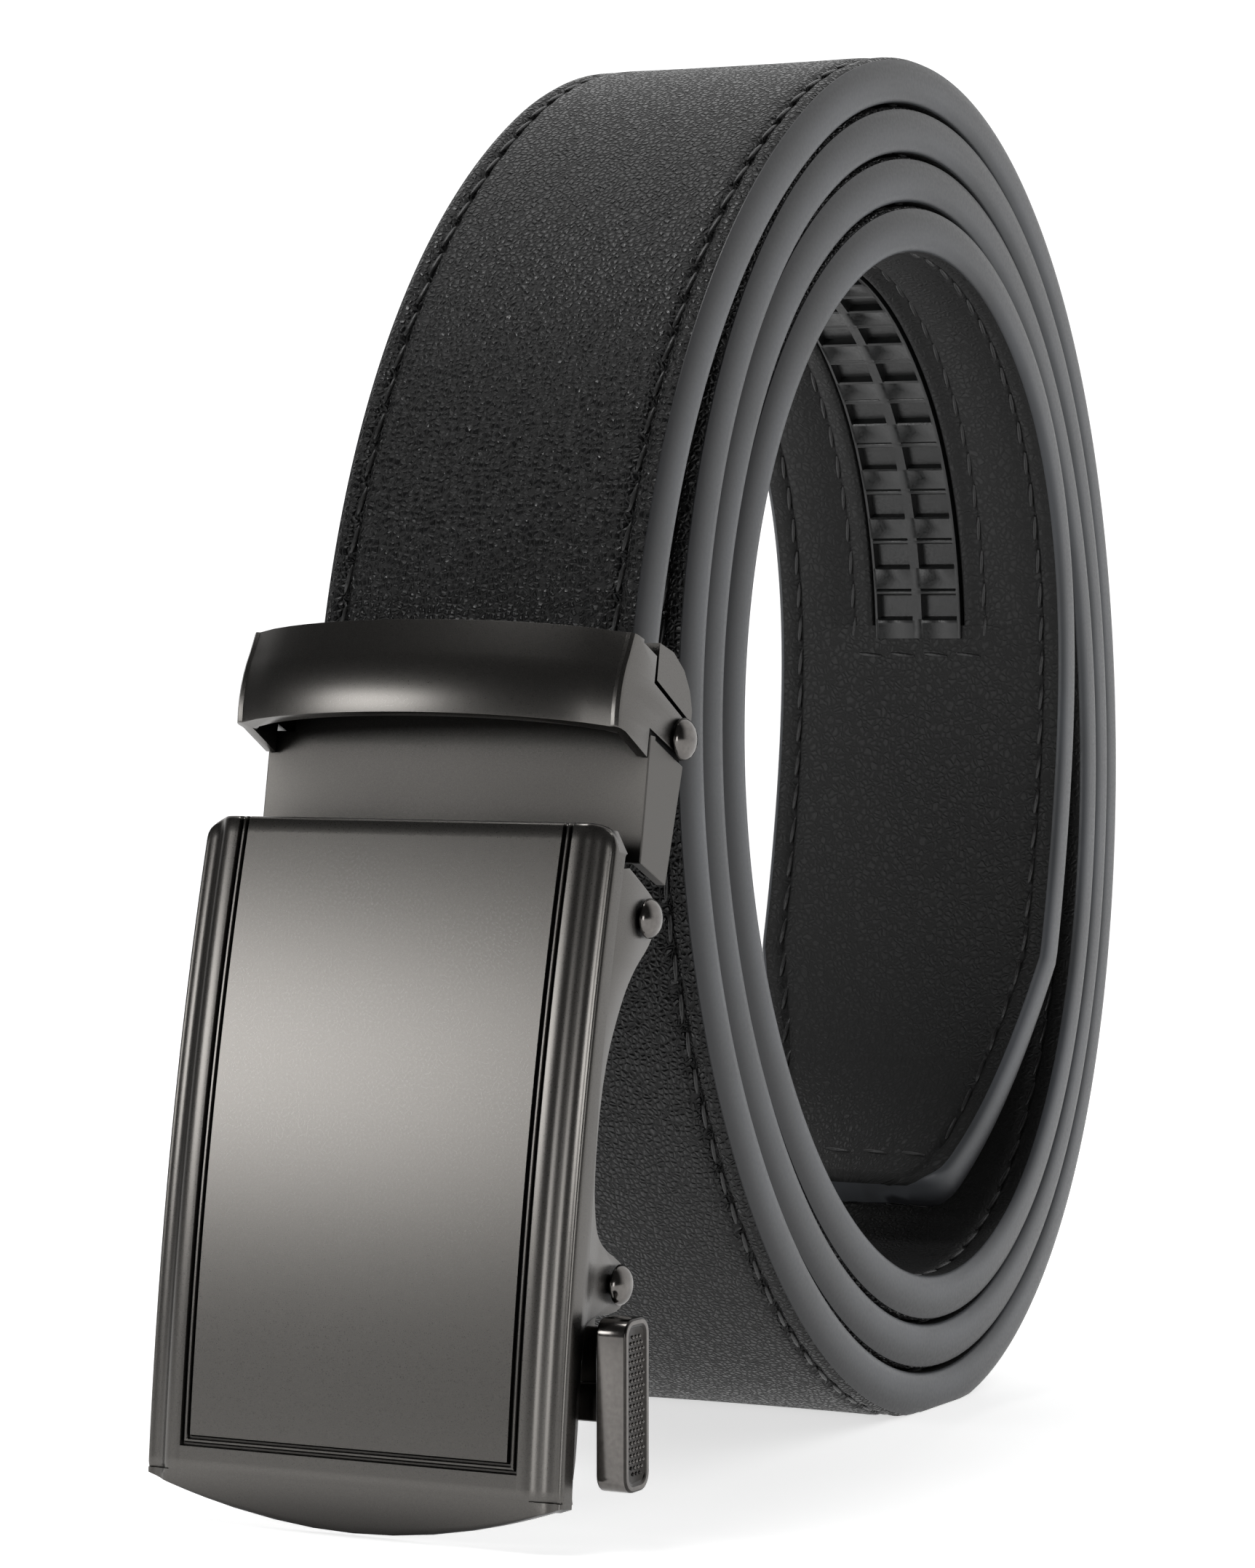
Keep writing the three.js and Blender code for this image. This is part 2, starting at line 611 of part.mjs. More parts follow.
// The spring pawl behind the plate, whose tooth points at the track
function pawlGeometry() {
  const [depth, height, hub] = [leverDepth, -leverDrop, pawlHub];
  const bar = sidePlate([
    [depth - 1.21 * hub, height + hub], [depth + 0.21 * hub, height + hub], [depth + 0.95 * hub, height],
    [depth + 0.53 * hub, height - pawlFoot], [depth + 0.42 * pawlThick, height - pawlReach],
    [depth - 0.58 * pawlThick, height - pawlReach], [depth - 0.79 * hub, height - 0.87 * pawlFoot],
  ], -sideOuter, 2 * sideOuter - sideSheet);
  return geometryOf(bar.subtract(rod(holeRadius, -sideOuter - 1, sideOuter + 1, depth, height)));
}

function leverGeometry() {
  const inner = sideInner + fitGap;
  const padInner = plateWidth / 2 + headHeight + 0.2;
  const neck = block(inner, padInner + padRound, neckFront, neckBack, -neckFoot, -neckTop);
  const foot = block(inner, padInner + padRound, neckFront - neckStep, neckBack, -neckFoot, -neckFoot + neckStepHigh);
  const shape = new THREE.Shape();
  const [w, h] = [padDepth / 2 - padRound, padHeight / 2 - padRound];
  shape.moveTo(-w + 1, -h);
  shape.lineTo(w - 1, -h);
  shape.quadraticCurveTo(w, -h, w, -h + 1.2);
  shape.lineTo(w, h - 1.2);
  shape.quadraticCurveTo(w, h, w - 1, h);
  shape.lineTo(-w + 1, h);
  shape.quadraticCurveTo(-w, h, -w, h - 1.2);
  shape.lineTo(-w, -h + 1.2);
  shape.quadraticCurveTo(-w, -h, -w + 1, -h);
  const pad = new THREE.ExtrudeGeometry(shape, {
    depth: padThick - 2 * padRound, bevelEnabled: true, bevelSize: padRound,
    bevelThickness: padRound, bevelSegments: 2, curveSegments: 4,
  });
  pad.applyMatrix4(new THREE.Matrix4().makeBasis(
    new THREE.Vector3(0, 1, 0), new THREE.Vector3(0, 0, 1), new THREE.Vector3(1, 0, 0)));
  pad.rotateX(rad(padLean));
  const shift = Math.tan(rad(padLean)) * padHeight / 2;
  pad.translate(padInner + padRound, padFront + padDepth / 2 + shift, -padTop - padHeight / 2);
  return geometryOf(joined(neck, foot, solidOf(pad)));
}

function mesh(name, geometry, material) {
  const piece = new THREE.Mesh(geometry, material);
  piece.name = name;
  return piece;
}

function pinMesh(name, x0, x1, radius, bothHeads, depth, height) {
  const pin = mesh(name, pinGeometry(x0, x1, radius, bothHeads), brightPin);
  pin.position.set(0, depth, height);
  return pin;
}

const belt = new THREE.Group();
belt.add(mesh('strap', strapGeometry(), leather));
belt.add(mesh('ratchet_track', trackGeometry(), plastic));

const buckle = new THREE.Group();
buckle.position.set(0, buckleTop.x, buckleTop.y);
buckle.rotation.x = -rad(plateLean);
buckle.add(mesh('clip_channel', clipChannelGeometry(), gunmetal));
buckle.add(mesh('clamp_jaw', clampJawGeometry(), gunmetal));
buckle.add(mesh('keeper_loop', keeperLoopGeometry(), gunmetal));
buckle.add(mesh('face_plate', facePlateGeometry(), gunmetal));
buckle.add(mesh('ratchet_pawl', pawlGeometry(), gunmetal));
buckle.add(mesh('release_lever', leverGeometry(), gunmetal));

const pinReach = plateWidth / 2 + fitGap / 2;
buckle.add(pinMesh('hinge_pin', -pinReach, pinReach, headRadius, true, hingeDepth, -hingeDrop));
buckle.add(pinMesh('lever_pin', -pinReach, pinReach, headRadius, true, leverDepth, -leverDrop));
const rivetReach = sideOuter + fitGap / 2;
const rivetFoot = strapWidth / 2 + 0.4;
for (const side of [1, -1]) {
  const name = side > 0 ? 'clip_rivet_right' : 'clip_rivet_left';
  const rivet = pinMesh(name, rivetFoot, rivetReach, rivetHeadRadius, false, jawPivotDepth, jawPivotHeight);
  rivet.rotation.y = side > 0 ? 0 : Math.PI;
  buckle.add(rivet);
}
belt.add(buckle);

export default belt;
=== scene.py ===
# A men's ratchet belt rolled up on its rim, dressed over its CAD frame.
# Lengths in the dictionaries are millimetres, in the CAD's own frame: +Z up, the buckle faces -Y.
import bpy
import bmesh
import math
from mathutils import Matrix, Vector


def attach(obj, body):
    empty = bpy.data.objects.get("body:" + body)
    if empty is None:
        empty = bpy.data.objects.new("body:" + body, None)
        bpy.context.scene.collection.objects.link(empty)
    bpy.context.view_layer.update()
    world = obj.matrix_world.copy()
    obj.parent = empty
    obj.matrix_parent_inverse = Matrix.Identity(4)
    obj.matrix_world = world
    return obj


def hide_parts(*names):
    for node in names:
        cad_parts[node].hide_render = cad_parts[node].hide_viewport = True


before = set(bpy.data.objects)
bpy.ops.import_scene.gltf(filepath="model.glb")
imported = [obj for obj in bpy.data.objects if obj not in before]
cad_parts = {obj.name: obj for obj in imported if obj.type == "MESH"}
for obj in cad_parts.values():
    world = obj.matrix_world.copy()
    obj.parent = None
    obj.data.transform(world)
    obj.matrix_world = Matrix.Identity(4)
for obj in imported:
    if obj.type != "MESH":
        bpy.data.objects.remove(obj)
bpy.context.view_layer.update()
print("frame loaded")

mm = 0.001


def colourOf(code):
    # sRGB hex to linear
    parts = [int(code[i:i + 2], 16) / 255 for i in (1, 3, 5)]
    return tuple(c / 12.92 if c <= 0.04045 else ((c + 0.055) / 1.055) ** 2.4 for c in parts) + (1.0,)


def addNode(tree, kind, settings=None, links=None):
    # settings are the node's own properties, its input values or a ramp's two stops,
    # links are output sockets for its inputs
    node = tree.nodes.new(kind)
    for key, value in (settings or {}).items():
        if key == "stops":
            for element, (position, colour) in zip(node.color_ramp.elements, value):
                element.position, element.color = position, colour
        elif isinstance(key, str) and key not in node.inputs:
            setattr(node, key, value)
        else:
            node.inputs[key].default_value = value
    for key, source in (links or {}).items():
        tree.links.new(source, node.inputs[key])
    return node


def newMaterial(name, surface):
    # a material with its Principled shader set to the values of surface
    material = bpy.data.materials.new(name)
    material.use_nodes = True
    tree = material.node_tree
    shader = tree.nodes["Principled BSDF"]
    for key, value in surface.items():
        shader.inputs[key].default_value = value
    return material, tree, shader


def grey(value):
    return (value, value, value, 1.0)


# Split cowhide with a pebble grain pressed into a thin coat: small shiny islands, dull dark creases
# The real grain is about 0.35 mm across, drawn a little coarser so that it shows
grainLook = {"cell": 0.6, "warp": 0.16, "crease": "#040404", "top": "#111112", "worn": "#161617",
             "roughTop": 0.26, "roughCrease": 0.62, "height": 0.2}
# noise scales per metre: the drift that bends the cells, the fine pores on them, the broad worn patches
leatherScales = {"drift": 700.0, "pore": 4200.0, "patch": 90.0}


def pebbledCowhide(name, look):
    material, tree, shader = newMaterial(name, {"IOR": 1.42})
    uv = addNode(tree, "ShaderNodeTexCoord").outputs["UV"]
    drift = addNode(tree, "ShaderNodeTexNoise", {"Scale": leatherScales["drift"], "Detail": 2.0},
                    {"Vector": uv})
    pulled = addNode(tree, "ShaderNodeVectorMath", {
        "operation": "MULTIPLY_ADD", 1: (look["warp"] * mm * 4,) * 3}, {0: drift.outputs["Color"], 2: uv})
    cells = addNode(tree, "ShaderNodeTexVoronoi", {
        "feature": "DISTANCE_TO_EDGE", "Scale": 1 / (look["cell"] * mm), "Randomness": 0.95},
        {"Vector": pulled.outputs[0]})
    island = addNode(tree, "ShaderNodeMapRange", {"interpolation_type": "SMOOTHSTEP", 1: 0.02, 2: 0.3},
                     {0: cells.outputs["Distance"]})
    scales = leatherScales
    pore = addNode(tree, "ShaderNodeTexNoise", {"Scale": scales["pore"], "Detail": 2.0}, {"Vector": uv})
    patch = addNode(tree, "ShaderNodeTexNoise", {"Scale": scales["patch"], "Detail": 3.0}, {"Vector": uv})
    height = addNode(tree, "ShaderNodeMath", {"operation": "MULTIPLY_ADD", 1: 0.25},
                     {0: pore.outputs["Fac"], 2: island.outputs[0]})
    dye = addNode(tree, "ShaderNodeValToRGB", {
        "stops": [(0.0, colourOf(look["crease"])), (1.0, colourOf(look["top"]))]},
        {"Fac": island.outputs[0]})
    wear = addNode(tree, "ShaderNodeValToRGB", {"stops": [(0.45, grey(0.0)), (0.75, grey(0.6))]},
                   {"Fac": patch.outputs["Fac"]})
    mix = addNode(tree, "ShaderNodeMix", {"data_type": "RGBA", 7: colourOf(look["worn"])},
                  {6: dye.outputs["Color"], 0: wear.outputs["Color"]})
    gloss = addNode(tree, "ShaderNodeValToRGB", {
        "stops": [(0.0, grey(look["roughCrease"])), (0.9, grey(look["roughTop"]))]},
        {"Fac": island.outputs[0]})
    tree.links.new(mix.outputs[2], shader.inputs["Base Color"])
    tree.links.new(gloss.outputs["Color"], shader.inputs["Roughness"])
    bump = addNode(tree, "ShaderNodeBump", {"Strength": 1.0, "Distance": look["height"] * mm},
                   {"Height": height.outputs[0]})
    tree.links.new(bump.outputs["Normal"], shader.inputs["Normal"])
    return material


# Several coats of edge paint, sanded between: a dull waxy grey with hardly any grain
# girth is the length round the strap's section, across is where the painted shade on the outer shoulder ends
edgeLook = {"colour": "#5c5f64", "worn": "#4c4e51", "shoulderShade": "#26272a", "rough": 0.42, "height": 0.01,
            "across": (17.6, 20.4), "girth": 77.62, "cloud": 60.0, "grit": 2600.0}


def sandedEdgePaint(name, look):
    material, tree, shader = newMaterial(name, {"IOR": 1.46, "Coat Weight": 0.08, "Coat Roughness": 0.4})
    uv = addNode(tree, "ShaderNodeTexCoord").outputs["UV"]
    cloud = addNode(tree, "ShaderNodeTexNoise", {"Scale": look["cloud"], "Detail": 3.0}, {"Vector": uv})
    grit = addNode(tree, "ShaderNodeTexNoise", {"Scale": look["grit"], "Detail": 3.0}, {"Vector": uv})
    # folded at half the girth, so that both edges of the strap read the same distance
    split = addNode(tree, "ShaderNodeSeparateXYZ", links={0: uv})
    across = addNode(tree, "ShaderNodeMath", {"operation": "PINGPONG", 1: look["girth"] * mm / 2},
                     {0: split.outputs["X"]})
    inward = addNode(tree, "ShaderNodeMapRange", {
        "interpolation_type": "SMOOTHSTEP", 1: look["across"][0] * mm, 2: look["across"][1] * mm},
        {0: across.outputs[0]})
    coats = addNode(tree, "ShaderNodeValToRGB", {
        "stops": [(0.35, colourOf(look["worn"])), (0.7, colourOf(look["colour"]))]},
        {"Fac": cloud.outputs["Fac"]})
    # painted shade: each edge is darkened on its outer shoulder, standing in for the shade of the
    # neighbouring turns
    paintAndShade = addNode(tree, "ShaderNodeMix", {"data_type": "RGBA", 6: colourOf(look["shoulderShade"])},
                    {0: inward.outputs[0], 7: coats.outputs["Color"]})
    gloss = addNode(tree, "ShaderNodeValToRGB", {
        "stops": [(0.3, grey(look["rough"] - 0.05)), (0.7, grey(look["rough"] + 0.07))]},
        {"Fac": grit.outputs["Fac"]})
    tree.links.new(paintAndShade.outputs[2], shader.inputs["Base Color"])
    tree.links.new(gloss.outputs["Color"], shader.inputs["Roughness"])
    bump = addNode(tree, "ShaderNodeBump", {"Strength": 0.6, "Distance": look["height"] * mm},
                   {"Height": grit.outputs["Fac"]})
    tree.links.new(bump.outputs["Normal"], shader.inputs["Normal"])
    return material


# Waxed polyester thread, twisted: a soft sheen broken by the twist
threadLook = {"colour": "#191919", "dark": "#080808", "twist": 0.42, "height": 0.08}


def waxedThread(name, look):
    material, tree, shader = newMaterial(name, {"Roughness": 0.42, "IOR": 1.5, "Sheen Weight": 0.2})
    place = addNode(tree, "ShaderNodeTexCoord").outputs["Object"]
    twist = addNode(tree, "ShaderNodeTexNoise", {"Scale": 1 / (look["twist"] * mm), "Detail": 1.0},
                    {"Vector": place})
    wax = addNode(tree, "ShaderNodeValToRGB", {
        "stops": [(0.35, colourOf(look["dark"])), (0.65, colourOf(look["colour"]))]},
        {"Fac": twist.outputs["Fac"]})
    tree.links.new(wax.outputs["Color"], shader.inputs["Base Color"])
    bump = addNode(tree, "ShaderNodeBump", {"Strength": 0.8, "Distance": look["height"] * mm},
                   {"Height": twist.outputs["Fac"]})
    tree.links.new(bump.outputs["Normal"], shader.inputs["Normal"])
    return material


# Moulded nylon: semi-matt, with a faint spark-eroded texture
trackLook = {"colour": "#131414", "rough": 0.34, "spark": 3500.0, "height": 0.02}


def mouldedNylon(name, look):
    material, tree, shader = newMaterial(name, {"Base Color": colourOf(look["colour"]), "IOR": 1.53})
    place = addNode(tree, "ShaderNodeTexCoord").outputs["Object"]
    spark = addNode(tree, "ShaderNodeTexNoise", {"Scale": look["spark"], "Detail": 2.0}, {"Vector": place})
    gloss = addNode(tree, "ShaderNodeValToRGB", {
        "stops": [(0.3, grey(look["rough"] - 0.06)), (0.7, grey(look["rough"] + 0.1))]},
        {"Fac": spark.outputs["Fac"]})
    tree.links.new(gloss.outputs["Color"], shader.inputs["Roughness"])
    bump = addNode(tree, "ShaderNodeBump", {"Strength": 0.5, "Distance": look["height"] * mm},
                   {"Height": spark.outputs["Fac"]})
    tree.links.new(bump.outputs["Normal"], shader.inputs["Normal"])
    return material


# Die-cast zinc, bead blasted and plated in black nickel: a satin warm grey with a fine glitter
# the painted shade colour goes into corners and recesses; reach is how near a wall counts as one, in
# millimetres
satinLook = {"colour": "#605e5b", "dark": "#575553", "rough": 0.29, "bead": 0.12, "height": 0.0015,
             "paintedShade": "#161515", "reach": 6, "black": 0.25}


def blastedGunmetal(name, look):
    material, tree, shader = newMaterial(name, {"Metallic": 1.0})
    place = addNode(tree, "ShaderNodeTexCoord").outputs["Object"]
    bead = addNode(tree, "ShaderNodeTexNoise", {"Scale": 1 / (look["bead"] * mm), "Detail": 2.0},
                   {"Vector": place})
    # painted shade: ambient occlusion darkens the plating towards the shade colour near other surfaces,
    # standing in for shadow in corners and recesses
    openness = addNode(tree, "ShaderNodeAmbientOcclusion", {"samples": 8, "Distance": look["reach"] * mm})
    unshadedShare = addNode(tree, "ShaderNodeValToRGB", {"stops": [(look["black"], grey(0.0)), (0.85, grey(1.0))]},
                     {"Fac": openness.outputs["AO"]})
    plating = addNode(tree, "ShaderNodeValToRGB", {
        "stops": [(0.25, colourOf(look["dark"])), (0.75, colourOf(look["colour"]))]},
        {"Fac": bead.outputs["Fac"]})
    # painted shade mixed over the plating where the surface is hemmed in
    worn = addNode(tree, "ShaderNodeMix", {"data_type": "RGBA", 6: colourOf(look["paintedShade"])},
                   {0: unshadedShare.outputs["Color"], 7: plating.outputs["Color"]})
    gloss = addNode(tree, "ShaderNodeValToRGB", {
        "stops": [(0.3, grey(look["rough"] - 0.02)), (0.7, grey(look["rough"] + 0.02))]},
        {"Fac": bead.outputs["Fac"]})
    tree.links.new(worn.outputs[2], shader.inputs["Base Color"])
    tree.links.new(gloss.outputs["Color"], shader.inputs["Roughness"])
    bump = addNode(tree, "ShaderNodeBump", {"Strength": 0.3, "Distance": look["height"] * mm},
                   {"Height": bead.outputs["Fac"]})
    tree.links.new(bump.outputs["Normal"], shader.inputs["Normal"])
    return material


leatherTop = pebbledCowhide("pebbledCowhide", grainLook)
lining = pebbledCowhide("finerSplitLining", {
    "cell": 0.7, "warp": 0.3, "crease": "#0a0a0a", "top": "#101010", "worn": "#131312",
    "roughTop": 0.5, "roughCrease": 0.66, "height": 0.035})
edgePaint = sandedEdgePaint("sandedEdgePaint", edgeLook)
thread = waxedThread("waxedThread", threadLook)
nylon = mouldedNylon("mouldedNylon", trackLook)
gunmetal = blastedGunmetal("blastedGunmetal", satinLook)
# the pins and the lever get the same painted shade in their corners, with a reach of 2 mm
burnished = blastedGunmetal("burnishedGunmetal", {
    "colour": "#6e6b68", "dark": "#605d5b", "rough": 0.17, "bead": 0.5, "height": 0.003,
    "paintedShade": "#2a2928", "reach": 2, "black": 0.25})
darkLever = blastedGunmetal("darkPlatedLever", {
    "colour": "#3a3836", "dark": "#312f2e", "rough": 0.24, "bead": 0.4, "height": 0.004,
    "paintedShade": "#121212", "reach": 2, "black": 0.25})
# the clip is plated like the rest, but duller and darker, and its painted shade reaches 18 mm, standing in
# for the shadow under the keeper loop
clipShadedGunmetal = blastedGunmetal("clipGunmetalPaintedShade", {
    "colour": "#5c5a57", "dark": "#53514f", "rough": 0.36, "bead": 0.12, "height": 0.0015,
    "paintedShade": "#0b0b0b", "reach": 18, "black": 0.4})
print("materials made")


def finished(bm, name, materials, body, nodes, sharpAngle=40):
    # a bmesh in millimetres becomes an object in metres that rides on its body
    bmesh.ops.scale(bm, vec=(mm, mm, mm), verts=bm.verts)
    return placed(bm, name, materials, body, nodes, sharpAngle)


def placed(bm, name, materials, body, nodes, sharpAngle=40):
    flat = bm.faces.layers.int.get("flat")
    for face in bm.faces:
        face.smooth = not (flat and face[flat])
    data = bpy.data.meshes.new(name)
    bm.to_mesh(data)
    bm.free()
    data.set_sharp_from_angle(angle=math.radians(sharpAngle))
    for material in materials:
        data.materials.append(material)
    piece = bpy.data.objects.new(name, data)
    bpy.context.collection.objects.link(piece)
    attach(piece, body)
    if nodes:
        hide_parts(*nodes)
    print("made", name, len(data.polygons), "faces")
    return piece


def placedGrid(columns, rows, place, uvAt=None):
    # a grid whose point (column, row) is put where place says
    bm = bmesh.new()
    bmesh.ops.create_grid(bm, x_segments=columns - 1, y_segments=rows - 1, size=1.0)
    spot = {}
    for vert in bm.verts:
        spot[vert] = (round((vert.co.x + 1) / 2 * (columns - 1)), round((vert.co.y + 1) / 2 * (rows - 1)))
    if uvAt:
        layer = bm.loops.layers.uv.new("UVMap")
        for face in bm.faces:
            for loop in face.loops:
                loop[layer].uv = uvAt(*spot[loop.vert])
    for vert, (column, row) in spot.items():
        vert.co = place(column, row)
    return bm, spot


# The strap and its coil, as part.mjs winds it
strapLook = {
    "width": 35, "thick": 4.8, "turnGap": 0.3, "halfDepth": 60.7, "halfHeight": 73.9, "lean": 7.7,
    "lobe": 0.9, "lobeTurn": 0.03, "leaveTurn": 0.2, "tailTurn": 3.712,
    "tailBow": 6.0, "tailBowTurns": 0.33, "tailBowShare": 0.8, "tailTaper": 30, "tailCut": 6.5,
    "centre": (-5.853, 69.071), "entryReach": 0.36,
    # how far each half turn lies to the side
    "drift": [(0, 0), (0.5, -3.0), (1, -0.5), (1.5, -2.0), (2, -1.0), (2.5, -1.2), (3, -1.2), (3.5, 0),
              (4, 0)],
    "trackStart": 67.5, "trackLength": 218, "stitchPitch": 3.9, "stitchInset": 2.75, "endCorner": 3.2,
    # the track's window in the lining, its clearance and where the margin and the middle part
    "windowGap": 0.3, "windowStep": 0.02, "windowHalf": 8.5, "trackHalf": 5.5, "marginFrom": 12,
    # the rings that round the tip over: distance from the end and the share of the thickness
    "tipRings": [(1.6, 1.0), (1.1, 0.99), (0.7, 0.95), (0.4, 0.87), (0.18, 0.76), (0.0, 0.58)],
    # the last plain ring before those, the cut end's first ring and its share, the last needle hole
    "lastRing": 1.9, "cutEase": (0.25, 0.9), "lastStitch": 5,
    # how finely the path is divided: in the clip, on the way to the coil and round it
    "clipSteps": 20, "wayRoundSteps": 120, "coilSteps": 3600,
}
buckleLook = {"top": (-85.453, 64.673), "lean": 9.9, "strapSeat": 9.7, "strapFoot": -1.2,
              "strapEntry": 13.5}


def coilPoint(turn):
    look = strapLook
    angle = math.pi - 2 * math.pi * turn
    bowed = min(max((turn - (look["tailTurn"] - look["tailBowTurns"])) / look["tailBowTurns"], 0), 1)
    out = (look["lobe"] * math.cos(6 * math.pi * (turn - look["lobeTurn"]))
           - look["tailBow"] * math.sin(math.pi * look["tailBowShare"] * bowed) ** 2
           - (look["thick"] + look["turnGap"]) * turn - look["thick"] / 2)
    flat = Vector(((look["halfDepth"] + out) * math.cos(angle),
                   (look["halfHeight"] + out) * math.sin(angle)))
    flat.rotate(Matrix.Rotation(math.radians(look["lean"]), 2))
    return flat + Vector(look["centre"])


def sideAt(turn):
    table = strapLook["drift"]
    for (turnA, sideA), (turnB, sideB) in zip(table, table[1:]):
        if turn <= turnB:
            share = max((turn - turnA) / (turnB - turnA), 0)
            return sideA + (sideB - sideA) * (1 - math.cos(math.pi * share)) / 2
    return table[-1][1]


def fromBuckle(depth, height):
    flat = Vector((depth, height))
    flat.rotate(Matrix.Rotation(-math.radians(buckleLook["lean"]), 2))
    return flat + Vector(buckleLook["top"])


def densePath():
    # (y, z, side) along the strap's middle, from the cut end in the clip to the free end
    seat = buckleLook["strapSeat"] + strapLook["thick"] / 2
    foot, entry = fromBuckle(seat, buckleLook["strapFoot"]), fromBuckle(seat, buckleLook["strapEntry"])
    leaveTurn = strapLook["leaveTurn"]
    leave = coilPoint(leaveTurn)
    onCoil = (coilPoint(leaveTurn + 1e-4) - coilPoint(leaveTurn - 1e-4)).normalized()
    reach = (leave - entry).length * strapLook["entryReach"]
    ends = [entry, entry + (entry - foot).normalized() * reach, leave - onCoil * reach, leave]
    clipSteps, wayRoundSteps, coilSteps = (strapLook[key] for key in ("clipSteps", "wayRoundSteps",
                                                                      "coilSteps"))
    points = [(foot.lerp(entry, i / clipSteps), sideAt(0)) for i in range(clipSteps)]
    for i in range(wayRoundSteps):
        t = i / wayRoundSteps
        weights = [(1 - t) ** 3, 3 * t * (1 - t) ** 2, 3 * t * t * (1 - t), t ** 3]
        points.append((sum((w * p for w, p in zip(weights, ends)), Vector((0, 0))), sideAt(leaveTurn * t)))
    for i in range(coilSteps + 1):
        turn = leaveTurn + (strapLook["tailTurn"] - leaveTurn) * i / coilSteps
        points.append((coilPoint(turn), sideAt(turn)))
    return points


pathPoints = densePath()
pathLengths = [0.0]
for (a, _), (b, _) in zip(pathPoints, pathPoints[1:]):
    pathLengths.append(pathLengths[-1] + (b - a).length)
strapLength = pathLengths[-1]


def placeAt(distance):
    # position, outward direction, side shift and direction along the strap, at a distance from the cut end
    low, high = 0, len(pathLengths) - 2
    while low < high:
        middle = (low + high + 1) // 2
        if pathLengths[middle] <= distance:
            low = middle
        else:
            high = middle - 1
    (a, sideA), (b, sideB) = pathPoints[low], pathPoints[low + 1]
    share = (distance - pathLengths[low]) / (pathLengths[low + 1] - pathLengths[low])
    before, after = pathPoints[max(low - 2, 0)][0], pathPoints[min(low + 3, len(pathPoints) - 1)][0]
    along = (after - before).normalized()
    return a.lerp(b, share), Vector((-along.y, along.x)), sideA + (sideB - sideA) * share, along


def onStrap(place, x, out):
    point, outward, side, _ = place
    at = point + outward * out
    return Vector((x + side, at.x, max(at.y, 0.0)))


# Right half of the strap's section, from the middle of the outer face round to the middle of the inner
# one: across, outward, what the stretch to the next point is, how far a needle hole pulls the point in
strapSection = [
    (0.0, 2.30, "top", 0), (6.0, 2.31, "top", 0), (11.0, 2.35, "top", 0), (12.9, 2.38, "top", 0),
    (13.7, 2.36, "top", 0.02), (14.15, 2.24, "top", 0.08), (14.45, 2.02, "top", 0.3),
    (14.75, 1.93, "top", 0.45), (15.05, 2.04, "top", 0.3), (15.4, 2.24, "top", 0.08),
    (15.8, 2.33, "top", 0.02),
    (16.25, 2.30, "top", 0), (16.6, 2.16, "top", 0), (16.72, 2.07, "edge", 0),
    (16.82, 2.06, "edge", 0), (17.02, 1.72, "edge", 0), (17.22, 1.2, "edge", 0), (17.37, 0.55, "edge", 0),
    (17.46, -0.2, "edge", 0), (17.5, -0.95, "edge", 0), (17.47, -1.5, "edge", 0), (17.34, -1.95, "edge", 0),
    (17.1, -2.24, "edge", 0), (16.8, -2.36, "inner", 0), (16.0, -2.4, "inner", 0),
    (15.3, -2.36, "inner", 0.04),
    (14.98, -2.2, "inner", -0.1), (14.75, -2.12, "inner", -0.25), (14.52, -2.2, "inner", -0.1),
    (14.2, -2.36, "inner", 0), (13.4, -2.4, "inner", 0), (8.4, -2.4, "inner", 0), (8.0, -2.4, "inner", 0),
    (7.6, -2.4, "inner", 0), (6.9, -2.4, "inner", 0), (6.3, -2.4, "inner", 0), (5.8, -2.4, "inner", 0),
    (5.56, -2.4, "inner", 0), (5.5, -2.4, "inner", 0), (0.0, -2.4, "inner", 0),
]
zoneSlot = {"top": 0, "edge": 1, "inner": 2}
# across and outward inside the track's window: its floor, the lip at its cut edge, the stitched groove
windowLook = [(0.0, -1.25), (5.5, -1.25), (5.56, -2.4), (5.8, -2.62), (6.3, -2.66), (6.9, -2.56),
              (7.6, -2.38), (8.0, -2.12), (8.4, -2.38), (8.5, -2.4)]


def taperAt(distance):
    # how far the strap's side has come in at a distance from its cut end
    return strapLook["tailCut"] * max(1 - (strapLength - distance) / strapLook["tailTaper"], 0)


def towards(value, table):
    # straight lines between the rows of a table
    for (a, va), (b, vb) in zip(table, table[1:]):
        if value <= b:
            return va + (vb - va) * max(value - a, 0) / (b - a)
    return table[-1][1]


